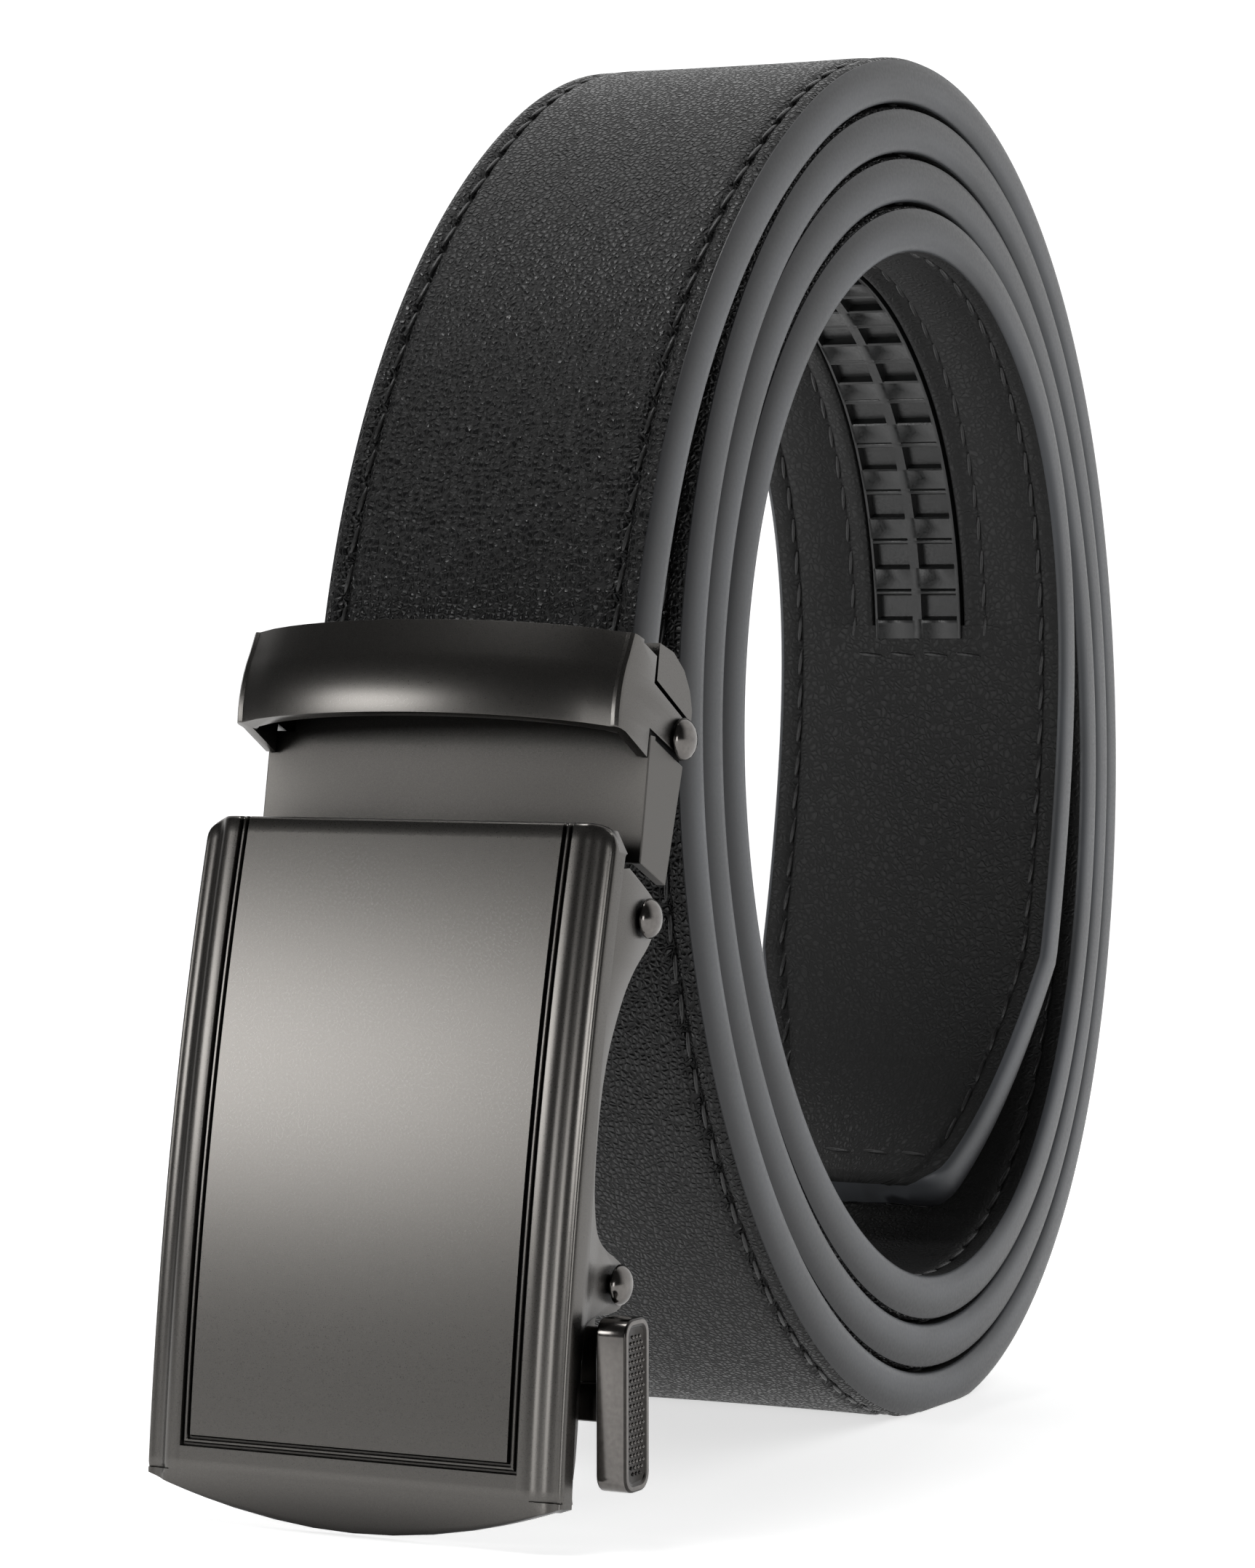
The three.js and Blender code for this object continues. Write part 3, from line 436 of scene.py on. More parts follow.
def buildStrap():
    look = strapLook
    right = strapSection
    left = [(-x, out, zone, hole) for x, out, zone, hole in right[1:-1]]
    # the left half runs back from the inner face to the outer one, so a stretch takes its start's zone
    zones = [point[2] for point in right[:-1]] + [right[i][2] for i in range(len(right) - 2, -1, -1)]
    ring = right + left[::-1] + [right[0]]
    girth = [0.0]
    for a, b in zip(ring, ring[1:]):
        girth.append(girth[-1] + math.hypot(b[0] - a[0], b[1] - a[1]))
    step = look["stitchPitch"] / 3
    firstRing, cutShare = look["cutEase"]
    distances = [0.0, firstRing] + [i * step for i in range(1, int(strapLength // step))]
    trackFrom = strapLength - look["trackStart"] - look["trackLength"] - look["windowGap"]
    trackTo = strapLength - look["trackStart"] + look["windowGap"]
    distances += [at + way * look["windowStep"] for at in (trackFrom, trackTo) for way in (-1, 1)]
    distances = sorted(d for d in distances if d < strapLength - look["lastRing"])
    rings = [(d, 1.0 if d else cutShare) for d in distances]
    rings += [(strapLength - d, share) for d, share in look["tipRings"]]
    places = [placeAt(d) for d, _ in rings]
    half = look["width"] / 2
    corner = look["endCorner"]
    margin = look["marginFrom"]

    def place(column, row):
        across, out, zone, hole = ring[column]
        distance, squeeze = rings[row]
        toTip = strapLength - distance
        narrow = half - taperAt(distance)
        if toTip < corner:
            narrow += math.sqrt(corner ** 2 - (corner - toTip) ** 2) - corner
        # the margin keeps its width, the middle narrows
        if abs(across) > margin:
            x = math.copysign(max(abs(across) - (half - narrow), 0), across)
        else:
            x = across * (narrow - look["trackHalf"]) / margin
        if hole and round(distance / step) % 3 == 0 and toTip > look["lastStitch"]:
            out -= hole
        if trackFrom < distance < trackTo and zone == "inner" and abs(x) < look["windowHalf"]:
            # the lining is stitched down round the window, with a soft lip at its cut edge
            out = towards(abs(across), windowLook)
        return onStrap(places[row], x, out * squeeze)

    bm, spot = placedGrid(len(ring), len(rings), place,
                          lambda column, row: (girth[column] * mm, rings[row][0] * mm))
    for face in bm.faces:
        face.material_index = zoneSlot[zones[min(spot[v][0] for v in face.verts)]]
    bmesh.ops.remove_doubles(bm, verts=bm.verts, dist=1e-4)
    ends = [e for e in bm.edges if e.is_boundary]
    caps = bmesh.ops.holes_fill(bm, edges=ends, sides=0)["faces"]
    for cap in caps:
        cap.material_index = zoneSlot["edge"]
    bmesh.ops.recalc_face_normals(bm, faces=bm.faces)
    return finished(bm, "rolledStrap", [leatherTop, edgePaint, lining], "belt", ["strap"],
                    sharpAngle=50)


buildStrap()

stitchLook = {
    "length": 3.1, "radius": 0.27, "slant": 7, "squash": 0.75,
    # how far out from the strap's middle the rows lie, and where the end row and the window's rows run
    "outer": 2.1, "inner": -2.27, "windowSide": -2.26, "outerEnd": 2.36, "innerEnd": -2.42,
    "first": 2, "endRow": 4.2, "windowRow": 3.7, "windowHalf": 8.0, "floor": 0.4,
}


def stampOf(create, **settings):
    # a small mesh made once, so that hundreds of it can be added quickly
    bm = bmesh.new()
    create(bm, **settings)
    stamp = bpy.data.meshes.new("stamp")
    bm.to_mesh(stamp)
    bm.free()
    return stamp


def addStamp(bm, stamp, matrix):
    stamp.transform(matrix)
    bm.from_mesh(stamp)
    stamp.transform(matrix.inverted())


strand = stampOf(bmesh.ops.create_uvsphere, u_segments=6, v_segments=5, radius=1.0,
                 matrix=Matrix.Rotation(math.pi / 2, 4, "Y"))


def addStitch(bm, centre, along, outward):
    # a short fat strand that dips into the leather at both ends
    across = along.cross(outward).normalized()
    turn = Matrix((along, across, outward)).transposed().to_4x4()
    look = stitchLook
    size = Matrix.Diagonal((look["length"] / 2, look["radius"], look["radius"] * look["squash"], 1))
    slant = Matrix.Rotation(math.radians(look["slant"]), 4, "Z")
    addStamp(bm, strand, Matrix.Translation(centre) @ turn @ slant @ size)


def alongRow(bm, x, out, start, end, facing):
    pitch = strapLook["stitchPitch"]
    first = math.ceil(start / pitch)
    for number in range(first, int(end // pitch)):
        distance = (number + 0.5) * pitch
        if distance > end:
            break
        place = placeAt(distance)
        inMiddle = abs(x) < strapLook["marginFrom"]
        inset = x if inMiddle else math.copysign(abs(x) - taperAt(distance), x)
        centre = onStrap(place, inset, out)
        along = Vector((0, place[3].x, place[3].y)).normalized()
        outward = Vector((0, place[1].x, place[1].y)) * facing
        if centre.z > stitchLook["floor"]:   # none under the coil, where it stands
            addStitch(bm, centre, along, outward)


def acrossRow(bm, distance, out, half, facing):
    place = placeAt(distance)
    count = int(2 * half // strapLook["stitchPitch"])
    for number in range(count):
        x = -half + (number + 0.5) * 2 * half / count
        outward = Vector((0, place[1].x, place[1].y)) * facing
        addStitch(bm, onStrap(place, x, out), Vector((1, 0, 0)), outward)


def buildStitches():
    bm = bmesh.new()
    look = stitchLook
    rowX = strapLook["width"] / 2 - strapLook["stitchInset"]
    endRow = strapLength - look["endRow"]
    windowEnd = strapLength - strapLook["trackStart"] + look["windowRow"]
    windowStart = windowEnd - strapLook["trackLength"] - 2 * look["windowRow"]
    endHalf = rowX - taperAt(endRow)
    for x in (-rowX, rowX):
        alongRow(bm, x, look["outer"], look["first"], endRow, 1)
        alongRow(bm, x, look["inner"], look["first"], endRow, -1)
    for x in (-look["windowHalf"], look["windowHalf"]):
        alongRow(bm, x, look["windowSide"], windowStart, windowEnd, -1)
    for distance in (windowStart, windowEnd):
        acrossRow(bm, distance, look["innerEnd"], look["windowHalf"], -1)
    acrossRow(bm, endRow, look["outerEnd"], endHalf, 1)
    acrossRow(bm, endRow, look["innerEnd"], endHalf, -1)
    bmesh.ops.recalc_face_normals(bm, faces=bm.faces)   # addStitch's left-handed axes turn them inwards
    return finished(bm, "stitches", [thread], "belt", [], sharpAngle=180)


buildStitches()


# The track's teeth: one period along the strap as shares of the pitch, and how deep each stands
trackTeeth = {
    "half": 5.2, "proud": 0.35, "thick": 1.2, "pitch": 6, "last": 4.0, "endDepth": 0.05,
    "rimFrom": 5.15, "rimDepth": 0.1, "pocketsTo": 5,
    # a small round ledge, the deep pocket, the plain bar
    "profile": [(0.0, 0.06), (0.015, 0.3), (0.04, 0.1), (0.07, 0.0), (0.1, 0.04), (0.13, 0.3),
                (0.15, 0.95), (0.55, 0.95), (0.585, 0.2), (0.62, 0.06), (0.97, 0.05)],
    # across: the rails stay level, the two columns dip
    "across": [(0.0, 0.0), (0.55, 0.0), (0.65, 1.0), (4.75, 1.0), (4.85, 0.0), (5.1, 0.02), (5.2, 0.1)],
}


def buildTrack():
    look = trackTeeth
    start = strapLength - strapLook["trackStart"] - strapLook["trackLength"]
    across = [(-x, dip) for x, dip in look["across"][:0:-1]] + look["across"]
    ring = [(-look["half"], None)] + across + [(look["half"], None), (-look["half"], None)]
    teeth = int((strapLook["trackLength"] - 1) // look["pitch"])
    rows = [(start, look["endDepth"])]
    for tooth in range(teeth):
        at = start + strapLook["trackLength"] - look["last"] - (teeth - 1 - tooth) * look["pitch"]
        rows += [(at + share * look["pitch"], depth) for share, depth in look["profile"]]
    rows.append((start + strapLook["trackLength"], look["endDepth"]))
    top = -strapLook["thick"] / 2 - look["proud"]
    places = [placeAt(distance) for distance, _ in rows]

    def place(column, row):
        x, dip = ring[column]
        if dip is None:
            depth = look["thick"]
        elif abs(x) > look["rimFrom"]:
            depth = look["rimDepth"]
        else:
            depth = dip * rows[row][1] if abs(x) < look["pocketsTo"] else 0.0
        return onStrap(places[row], x, top + depth)

    bm, _ = placedGrid(len(ring), len(rows), place)
    bmesh.ops.remove_doubles(bm, verts=bm.verts, dist=1e-4)
    bmesh.ops.holes_fill(bm, edges=[e for e in bm.edges if e.is_boundary], sides=0)
    bmesh.ops.recalc_face_normals(bm, faces=bm.faces)
    return finished(bm, "toothedTrack", [nylon], "belt", ["ratchet_track"],
                    sharpAngle=30)


buildTrack()


# The keeper's band is rolled a little convex from its lower edge, at low, to its upper one. Its front
# bows in full, and behind it the bow dies away over fade millimetres; ahead sets where that starts
loopBow = {"lean": 18.9, "low": (-81.3, 72.0), "high": 9.1, "bow": 0.85, "cuts": 8, "fade": 2, "ahead": 1.2}


def bowed(bm, look):
    up = Vector((0, math.sin(math.radians(look["lean"])), math.cos(math.radians(look["lean"]))))
    low = Vector((0, *look["low"])) * mm
    for cut in range(1, look["cuts"]):
        bmesh.ops.bisect_plane(bm, geom=bm.verts[:] + bm.edges[:] + bm.faces[:], dist=1e-7,
                               plane_co=low + up * look["high"] * mm * cut / look["cuts"], plane_no=up)
    forward = Vector((0, -up.z, up.y))
    for vert in bm.verts:
        height = (vert.co - low).dot(up) / mm / look["high"]
        front = min(max((vert.co - low).dot(forward) / mm / look["fade"] + look["ahead"], 0), 1)
        if 0 < height < 1:
            vert.co += forward * look["bow"] * mm * 4 * height * (1 - height) * front


# in degrees: faces that are joined into one flat, and edges that count as sharp
joinAngle = 0.6
easeAngle = 28


def easedCopy(node, name, ease, material, body, segments=2, sharpAngle=35, bow=None):
    # the CAD node's own shape, its triangles merged and its flats joined, bowed if asked, its edges eased
    bm = bmesh.new()
    bm.from_mesh(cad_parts[node].data)
    bmesh.ops.remove_doubles(bm, verts=bm.verts, dist=1e-6)
    bmesh.ops.dissolve_limit(bm, angle_limit=math.radians(joinAngle), verts=bm.verts, edges=bm.edges)
    if bow:
        bowed(bm, bow)
    edges = [e for e in bm.edges
             if len(e.link_faces) == 2 and e.calc_face_angle() > math.radians(easeAngle)]
    # a face with eased edges all round is a true flat, so it is shaded as one
    flat = bm.faces.layers.int.new("flat")
    eased = set(edges)
    for face in bm.faces:
        face[flat] = int(all(e in eased for e in face.edges))
    made = bmesh.ops.bevel(bm, geom=edges, offset=ease * mm, offset_type="OFFSET", affect="EDGES",
                           segments=segments, profile=0.5, material=-1, clamp_overlap=True)
    for face in made["faces"]:
        face[flat] = 0
    return placed(bm, name, [material], body, [node], sharpAngle)


easedCopy("clip_channel", "clipChannel", 0.16, clipShadedGunmetal, "belt", sharpAngle=12)
easedCopy("keeper_loop", "keeperLoop", 0.2, gunmetal, "belt", 3, bow=loopBow)
easedCopy("clamp_jaw", "clampJaw", 0.14, gunmetal, "jaw", sharpAngle=12)
easedCopy("ratchet_pawl", "ratchetPawl", 0.2, gunmetal, "lever", sharpAngle=12)


# The buckle's face plate
plateLook = {
    "width": 43.8, "height": 65.2, "thick": 1.8, "bulge": 1.7, "corner": 2.4, "lip": 4.3, "lipSetback": 1.8,
    "lipSide": 0.4, "panel": 16.7, "grooveRow": 57.6, "wall": 1.1, "wallDepth": 2.9,
    # offset from the panel's edge and depth: groove, bead, groove
    "grooves": [(0.0, 0.0), (0.07, 0.3), (0.14, 0.4), (0.3, 0.4), (0.37, 0.14), (0.44, 0.05), (0.6, 0.05),
                (0.67, 0.14), (0.74, 0.4), (0.9, 0.4), (0.97, 0.25), (1.07, 0.0)],
    # across and depth of the side moulding: rounded band, cove, bright rim
    "moulding": [(18.0, -0.03), (18.5, -0.04), (19.0, 0.03), (19.4, 0.2), (19.7, 0.46), (20.0, 0.74),
                 (20.4, 0.95), (20.9, 1.04), (21.3, 0.98), (21.5, 0.92), (21.65, 0.95), (21.78, 1.06),
                 (21.86, 1.24), (21.9, 1.5), (21.9, 2.9)],
    # across on the panel, and down from the top edge
    "columns": (0.0, 4.2, 8.4, 12.6, 15.5), "topRows": [0.0, 0.1, 0.35], "topEase": [0.35, 0.11],
    "rows": 46, "footRows": [59.2, 59.8, 60.3, 60.6, 60.8], "footEase": (60.2, 0.4),
    # the lip below the face: its rows, its step down, its crisp last edge and how deep its back lies
    "lipShares": [0.0, 0.04, 0.3, 0.6, 0.85, 0.95, 1.0], "lipStep": 0.2, "lipRim": 0.12, "lipBack": 0.15,
    "earEase": 0.14, "earInset": 0.04,
}
# depth behind the plate's front, and height from its top edge
hingeAt = (7.7, -7.7)
leverAt = (7.7, -41.0)


def bendAt(height):
    share = (height + plateLook["height"] / 2) / (plateLook["height"] / 2)
    return -plateLook["bulge"] * (1 - share * share)


def buckleMatrix():
    y, z = buckleLook["top"]
    return Matrix.Translation((0, y, z)) @ Matrix.Rotation(-math.radians(buckleLook["lean"]), 4, "X")


def buildPlate():
    look = plateLook
    edge = look["width"] / 2
    panel = look["panel"]
    front = [(x, 0.0) for x in look["columns"]]
    front += [(panel + offset, depth) for offset, depth in look["grooves"]] + look["moulding"]
    frontChain = [(-x, d) for x, d in front[:0:-1]] + front
    backX = edge - look["wall"]
    back = [(math.copysign(min(abs(x), backX), x), look["thick"]) for x, _ in frontChain]
    back[0], back[-1] = (-backX, look["wallDepth"]), (backX, look["wallDepth"])
    ring = frontChain + back[::-1] + [frontChain[0]]
    columns = len(frontChain)
    faceHeight = look["height"] - look["lip"]
    firstRow = look["topRows"][-1]
    rowsDown = look["topRows"] + [firstRow + (look["grooveRow"] - firstRow) * i / look["rows"]
                                  for i in range(1, look["rows"])]
    rowsDown += [look["grooveRow"] + offset for offset, _ in look["grooves"]] + look["footRows"]
    lipShares = look["lipShares"]
    grooveEnd = look["grooves"][-1][0]
    easeFrom, easeRate = look["footEase"]

    def topAt(x):
        past = abs(x) - (edge - look["corner"])
        return 0.0 if past <= 0 else look["corner"] - math.sqrt(max(look["corner"] ** 2 - past ** 2, 0))

    def lipAt(x):
        low = faceHeight + look["lipSide"]
        return low + (look["height"] - low) * (1 - (x / edge) ** 2)

    def place(column, row):
        x, depth = ring[column]
        onFront = column < columns or column == len(ring) - 1
        if row < len(rowsDown):
            share = rowsDown[row] / rowsDown[-1]
            down = topAt(x) * (1 - share) + rowsDown[row]
            if onFront and abs(x) < panel + grooveEnd + 0.01:
                # on the panel, the distance past its side or foot says how deep the grooves are
                down = rowsDown[row]
                past = max(abs(x) - panel, down - look["grooveRow"])
                depth = towards(max(past, 0.0), look["grooves"]) if past < grooveEnd else 0.0
            if onFront and row < len(look["topEase"]):
                depth += look["topEase"][row]
            if onFront and down > easeFrom:
                depth += (down - easeFrom) ** 2 * easeRate
            return Vector((x, depth + bendAt(-down), -down))
        share = lipShares[row - len(rowsDown)]
        down = faceHeight + (lipAt(x) - faceHeight) * share
        if onFront:
            sloped = look["lipStep"] + look["lipSetback"] * (down - faceHeight) / look["lip"]
            depth = max(depth, sloped) if abs(x) > panel + grooveEnd + 0.03 else sloped
            if depth < look["wallDepth"]:   # the outermost columns keep the side wall's depth
                depth = min(depth, look["thick"])
            if share == 1.0:
                depth = max(depth, min(depth + look["lipRim"], look["thick"] + 0.1))
        else:
            depth = max(depth, look["thick"] + look["lipBack"])
        return Vector((x, depth + bendAt(-down), -down))

    bm, spot = placedGrid(len(ring), len(rowsDown) + len(lipShares), place)
    frontColumns = set(range(columns))
    backColumns = set(range(columns, 2 * columns))
    ends = []
    for edgeOf in bm.edges:
        a, b = (spot[v] for v in edgeOf.verts)
        if edgeOf.is_boundary and a[1] == b[1]:
            sides = {a[0], b[0]}
            if sides <= frontColumns or sides <= backColumns:
                ends.append((a[1], edgeOf))
    lastRow = len(rowsDown) + len(lipShares) - 1
    for row in (0, lastRow):
        bmesh.ops.bridge_loops(bm, edges=[e for r, e in ends if r == row])
    bmesh.ops.remove_doubles(bm, verts=bm.verts, dist=1e-4)
    bmesh.ops.recalc_face_normals(bm, faces=bm.faces)
    addEars(bm)
    bmesh.ops.transform(bm, matrix=buckleMatrix(), verts=bm.verts)
    return finished(bm, "facePlate", [gunmetal], "plate", ["face_plate"], sharpAngle=42)


def earOutline():
    hinge = lambda depth, height: (hingeAt[0] + depth, hingeAt[1] + height)
    lever = lambda depth, height: (leverAt[0] + depth, leverAt[1] + height)
    wallAt = lambda height: (bendAt(height) + plateLook["wallDepth"] + 0.6, height)
    frontAt = lambda height: (bendAt(height) + 1.6, height)
    middle = (hingeAt[1] + leverAt[1]) / 2
    foot = -plateLook["height"] + plateLook["lip"] + 1.5
    return [
        frontAt(-2.6), hinge(0.1, 2.5), hinge(1.5, 1.7), hinge(2.1, 0), hinge(1.3, -2.2),
        hinge(-1.6, -5.0), hinge(-3.6, -8.4), wallAt(middle + 2), wallAt(middle - 7),
        lever(-4.9, 4.9), lever(-3.4, 3.2), lever(0, 2.2), lever(1.5, 1.5),
        lever(2.1, 0), lever(1.3, -2.5), lever(-4.6, -3.2), wallAt(leverAt[1] - 5),
        wallAt(foot), frontAt(foot), frontAt(leverAt[1]), frontAt(middle), frontAt(hingeAt[1] - 6),
    ]


def rounded(points, rounds=2):
    # corner cutting, so that a rough outline becomes a smooth one
    for _ in range(rounds):
        cut = []
        for a, b in zip(points, points[1:] + points[:1]):
            cut.append((a[0] * 0.75 + b[0] * 0.25, a[1] * 0.75 + b[1] * 0.25))
            cut.append((a[0] * 0.25 + b[0] * 0.75, a[1] * 0.25 + b[1] * 0.75))
        points = cut
    return points


def addSidePlate(bm, outline, x, thick, ease):
    # a plate in the buckle's side plane, from x to x + thick
    verts = [bm.verts.new((x, depth, height)) for depth, height in outline]
    face = bm.faces.new(verts)
    grown = bmesh.ops.extrude_face_region(bm, geom=[face])
    moved = [v for v in grown["geom"] if isinstance(v, bmesh.types.BMVert)]
    bmesh.ops.translate(bm, vec=(thick, 0, 0), verts=moved)
    whole = set(verts) | set(moved)
    rims = [e for e in bm.edges if e.verts[0] in whole and e.verts[1] in whole
            and abs(e.verts[0].co.x - e.verts[1].co.x) < 1e-6]
    faces = {f for v in whole for f in v.link_faces}
    bmesh.ops.recalc_face_normals(bm, faces=list(faces))
    bmesh.ops.bevel(bm, geom=rims, offset=ease, offset_type="OFFSET", affect="EDGES", segments=2,
                    profile=0.5, material=-1, clamp_overlap=True)


def addEars(bm):
    edge = plateLook["width"] / 2 - plateLook["earInset"]
    outline = rounded(earOutline())
    for x in (edge - plateLook["wall"], -edge):
        addSidePlate(bm, outline, x, plateLook["wall"], plateLook["earEase"])


buildPlate()


# Pins and rivets, turned
pinLook = {"shaft": 0.95, "head": 1.85, "dome": 1.15, "reach": 22.05, "rivetHead": 2.0, "rivetReach": 20.65,
           "rivetFoot": 17.9, "jawAt": (14.3, 9.8)}


def domeProfile(x, way, radius, height):
    # across and along, from the head's rim to its crown
    steps = [(0.62, 0.0), (0.95, 0.0), (1.0, 0.06), (1.0, 0.2), (0.93, 0.42), (0.8, 0.64), (0.6, 0.83),
             (0.35, 0.95), (0.0, 1.0)]
    return [(x + way * along * height, across * radius) for across, along in steps]


def turnedPin(name, startX, endX, radius, depth, height, body, node, bothHeads=True, flip=1):
    look = pinLook
    if bothHeads:
        profile = domeProfile(startX, -1, radius, look["dome"])[::-1]
    else:
        profile = [(startX, 0.0)]
    profile += [(startX, look["shaft"]), (endX, look["shaft"])] + domeProfile(endX, 1, radius, look["dome"])
    bm = bmesh.new()
    verts = [bm.verts.new((x * flip, 0, r)) for x, r in profile]
    edges = [bm.edges.new(pair) for pair in zip(verts, verts[1:])]
    bmesh.ops.spin(bm, geom=verts + edges, cent=(0, 0, 0), axis=(1, 0, 0), angle=2 * math.pi, steps=40,
                   use_merge=True)
    bmesh.ops.remove_doubles(bm, verts=bm.verts, dist=1e-4)
    bmesh.ops.recalc_face_normals(bm, faces=bm.faces)
    bmesh.ops.translate(bm, vec=(0, depth, height), verts=bm.verts)
    bmesh.ops.transform(bm, matrix=buckleMatrix(), verts=bm.verts)
    return finished(bm, name, [burnished], body, [node], sharpAngle=50)


turnedPin("hingePin", -pinLook["reach"], pinLook["reach"], pinLook["head"], *hingeAt, "plate", "hinge_pin")
turnedPin("leverPin", -pinLook["reach"], pinLook["reach"], pinLook["head"], *leverAt, "plate", "lever_pin")
for flip, side in ((1, "Right"), (-1, "Left")):
    turnedPin("clipRivet" + side, pinLook["rivetFoot"], pinLook["rivetReach"], pinLook["rivetHead"],
              *pinLook["jawAt"], "belt", "clip_rivet_" + side.lower(), False, flip)


# The release lever and its knurled pad
leverLook = {
    "inner": 19.8, "padInner": 23.25, "padThick": 3.0, "padHeight": 15.6, "padDepth": 4.6, "padTop": 43.8,
    "padFront": 1.5, "padLean": 10, "padRound": 1.55, "padEase": 0.5,
    # the dish in the pad's outer face: its rim, its sloped side and its depth
    "rim": 0.75, "dishSide": 0.12, "dish": 0.16,
    # the neck's front, back, top and foot, and the low block behind it
    "neck": (5.8, 8.4, 44.9, 53.4), "foot": 4.2, "footHigh": 3.5, "overlap": 0.4, "ease": 0.3,
    "knurlPitch": 0.62, "knurlRows": 0.87, "knurlRadius": 0.2, "knurlWide": 1.45, "knurlHigh": 6.4,
    "knurlEnd": 0.5,
}


def addBlock(bm, low, high, ease):
    low, high = Vector(low), Vector(high)
    size = high - low
    made = bmesh.ops.create_cube(bm, size=1.0, matrix=Matrix.Translation((low + high) / 2)
                                 @ Matrix.Diagonal((*size, 1)))["verts"]
    edges = list({e for v in made for e in v.link_edges})
    bmesh.ops.bevel(bm, geom=edges, offset=ease, offset_type="OFFSET", affect="EDGES", segments=2,
                    profile=0.5, material=-1, clamp_overlap=True)


def padCentre():
    look = leverLook
    shift = math.tan(math.radians(look["padLean"])) * look["padHeight"] / 2
    return Vector((look["padInner"] + look["padThick"] / 2, look["padFront"] + look["padDepth"] / 2 + shift,
                   -look["padTop"] - look["padHeight"] / 2))


def buildLever():
    look = leverLook
    front, back, top, foot = look["neck"]
    bm = bmesh.new()
    half = (look["padThick"] / 2, look["padDepth"] / 2, look["padHeight"] / 2)
    bmesh.ops.create_cube(bm, size=2.0, matrix=Matrix.Diagonal((*half, 1)))
    along = [e for e in bm.edges if abs(e.verts[0].co.x - e.verts[1].co.x) > 0.1]
    bmesh.ops.bevel(bm, geom=along, offset=look["padRound"], offset_type="OFFSET", affect="EDGES",
                    segments=6, profile=0.5, material=-1, clamp_overlap=True)
    outerFace = max(bm.faces, key=lambda f: f.calc_center_median().x)
    bmesh.ops.inset_region(bm, faces=[outerFace], thickness=look["rim"], depth=0.0)
    bmesh.ops.inset_region(bm, faces=[outerFace], thickness=look["dishSide"], depth=-look["dish"])
    rims = [e for e in bm.edges if len(e.link_faces) == 2 and e.calc_face_angle() > math.radians(50)
            and abs(abs(e.verts[0].co.x) - half[0]) < 1e-4 and abs(abs(e.verts[1].co.x) - half[0]) < 1e-4]
    bmesh.ops.bevel(bm, geom=rims, offset=look["padEase"], offset_type="OFFSET", affect="EDGES",
                    segments=4, profile=0.5, material=-1, clamp_overlap=True)
    plain = len(bm.faces)
    addKnurl(bm, half[0] - look["dish"])
    bm.faces.ensure_lookup_table()
    for face in bm.faces[plain:]:
        face.material_index = 1
    turn = Matrix.Translation(padCentre()) @ Matrix.Rotation(math.radians(look["padLean"]), 4, "X")
    bmesh.ops.transform(bm, matrix=turn, verts=bm.verts)
    outer = look["padInner"] + look["overlap"]
    addBlock(bm, (look["inner"], front, -foot), (outer, back, -top), look["ease"])
    addBlock(bm, (look["inner"], look["foot"], -foot), (outer, back, -foot + look["footHigh"]), look["ease"])
    bmesh.ops.recalc_face_normals(bm, faces=bm.faces)
    bmesh.ops.transform(bm, matrix=buckleMatrix(), verts=bm.verts)
    return finished(bm, "releaseLever", [darkLever, burnished], "lever", ["release_lever"],
                    sharpAngle=45)


def addKnurl(bm, x):
    # rows of small round bumps, every other row shifted by half a pitch
    look = leverLook
    pitch = look["knurlPitch"]
    rows = int(2 * look["knurlHigh"] / (pitch * look["knurlRows"]))
    bump = stampOf(bmesh.ops.create_icosphere, subdivisions=1, radius=look["knurlRadius"])
    for row in range(rows):
        height = -look["knurlHigh"] + (row + 0.5) * 2 * look["knurlHigh"] / rows
        for column in range(-3, 4):
            depth = (column + (0.5 if row % 2 else 0)) * pitch
            share = abs(height) / (look["knurlHigh"] + look["knurlEnd"])
            wide = look["knurlWide"] * math.sqrt(max(1 - share ** 6, 0))
            if abs(depth) <= wide:
                addStamp(bm, bump, Matrix.Translation((x, depth, height)))


buildLever()
print("metal made")


# Floor, light and camera
stageLook = {"floor": "#f4f4f4", "glow": 0.62, "size": 6.0}   # a lit white acrylic table, in metres


def buildStage():
    bm = bmesh.new()
    bmesh.ops.create_grid(bm, x_segments=2, y_segments=2, size=stageLook["size"])
    data = bpy.data.meshes.new("paleFloor")
    bm.to_mesh(data)
    bm.free()
    floor = bpy.data.objects.new("paleFloor", data)
    bpy.context.collection.objects.link(floor)
    material, _, _ = newMaterial("paleFloorPaint", {
        "Base Color": colourOf(stageLook["floor"]), "Roughness": 0.6, "Specular IOR Level": 0.2,
        "Emission Color": (1, 1, 1, 1), "Emission Strength": stageLook["glow"]})
    data.materials.append(material)
    floor.visible_diffuse = False   # its glow shows in reflections, but doesn't light the belt from below


def aimedAt(origin, target):
    return (Vector(target) - Vector(origin)).to_track_quat("-Z", "Y").to_euler()


def addSoftbox(name, origin, target, size, power):
    light = bpy.data.lights.new(name, "AREA")
    light.shape = "RECTANGLE"
    light.size, light.size_y = size
    light.energy = power
    lamp = bpy.data.objects.new(name, light)
    lamp.location = origin
    lamp.rotation_euler = aimedAt(origin, target)
    bpy.context.collection.objects.link(lamp)


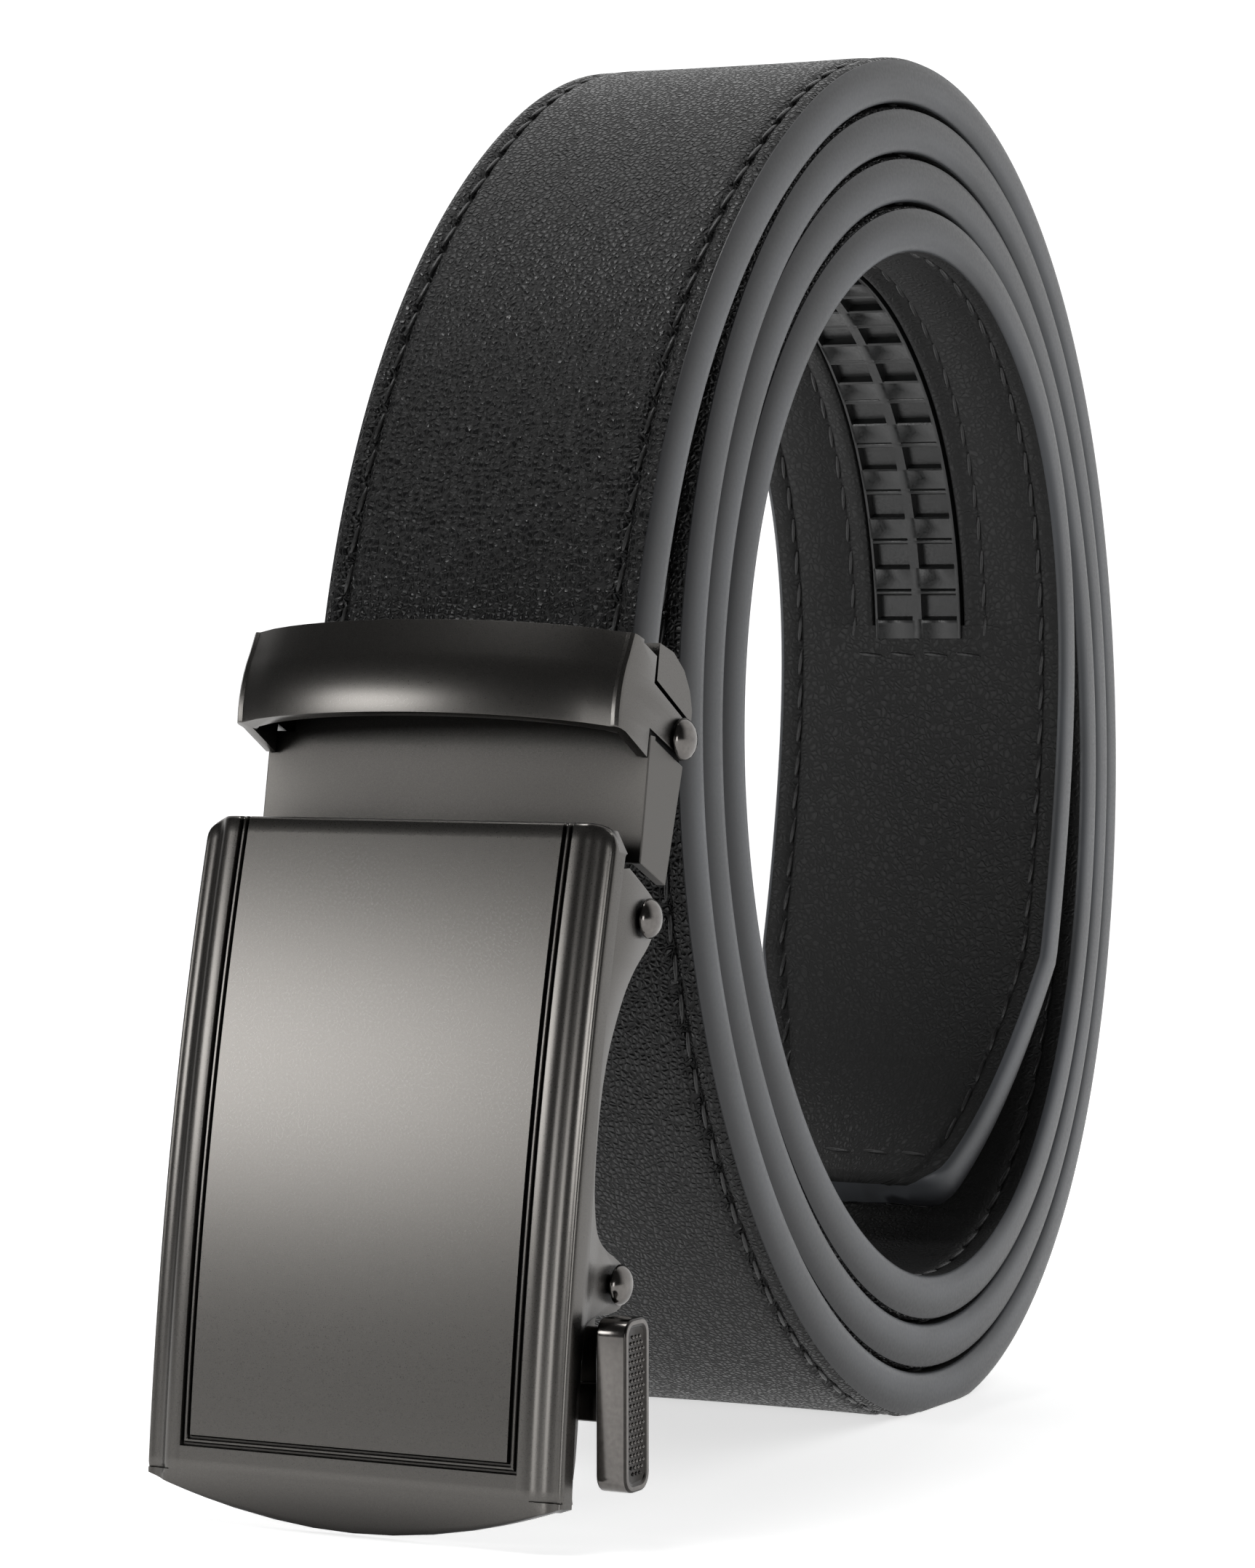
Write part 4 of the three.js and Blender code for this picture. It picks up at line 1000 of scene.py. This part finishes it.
middle = (0.0, -0.03, 0.07)
lightLook = {
    # a white backdrop behind the belt, and a dark room on the camera's side
    "backdrop": 1.2, "room": 0.05, "turnsAt": (-0.1, 0.6),
    # name, place, what it is aimed at, width and height, watts
    "boxes": [
        ("nearLeftBox", (-0.29, -0.455, 0.165), (-0.01, -0.088, 0.04), (0.18, 0.1), 0.55),
        ("overheadBox", (-0.2, -0.16, 0.95), middle, (0.3, 0.3), 3.2),
        ("rightFill", (0.5, -0.95, 0.15), middle, (0.4, 0.3), 1.8),
    ],
}


def buildLight():
    look = lightLook
    world = bpy.data.worlds.new("studio")
    bpy.context.scene.world = world
    bpy.context.scene.view_settings.view_transform = "Standard"
    world.use_nodes = True
    tree = world.node_tree
    background = tree.nodes["Background"]
    background.inputs["Color"].default_value = (1, 1, 1, 1)
    direction = addNode(tree, "ShaderNodeTexCoord").outputs["Generated"]
    split = addNode(tree, "ShaderNodeSeparateXYZ", links={0: direction})
    around = addNode(tree, "ShaderNodeMapRange", {
        "interpolation_type": "SMOOTHSTEP", 1: look["turnsAt"][0], 2: look["turnsAt"][1], 3: look["room"],
        4: look["backdrop"]}, {0: split.outputs["Y"]})
    # the picture's background is white all round, whichever way the world lights the belt
    path = addNode(tree, "ShaderNodeLightPath")
    seen = addNode(tree, "ShaderNodeMath", {"operation": "MULTIPLY", 1: look["backdrop"]},
                   {0: path.outputs["Is Camera Ray"]})
    strength = addNode(tree, "ShaderNodeMath", {"operation": "MAXIMUM"},
                       {0: around.outputs[0], 1: seen.outputs[0]})
    tree.links.new(strength.outputs[0], background.inputs["Strength"])
    for settings in look["boxes"]:
        addSoftbox(*settings)


cameraLook = {"position": (236.4, -486.5, 82.3), "target": (0.4, -42.5, 66.7), "longSidePixels": 2156,
              "focalPixels": 6960}


def buildCamera():
    data = bpy.data.cameras.new("camera")
    data.lens = data.sensor_width * cameraLook["focalPixels"] / cameraLook["longSidePixels"]
    data.clip_start, data.clip_end = 0.01, 50
    camera = bpy.data.objects.new("camera", data)
    camera.location = Vector(cameraLook["position"]) * mm
    camera.rotation_euler = aimedAt(camera.location, Vector(cameraLook["target"]) * mm)
    bpy.context.collection.objects.link(camera)
    bpy.context.scene.camera = camera


buildStage()
buildLight()
buildCamera()
print("stage made")
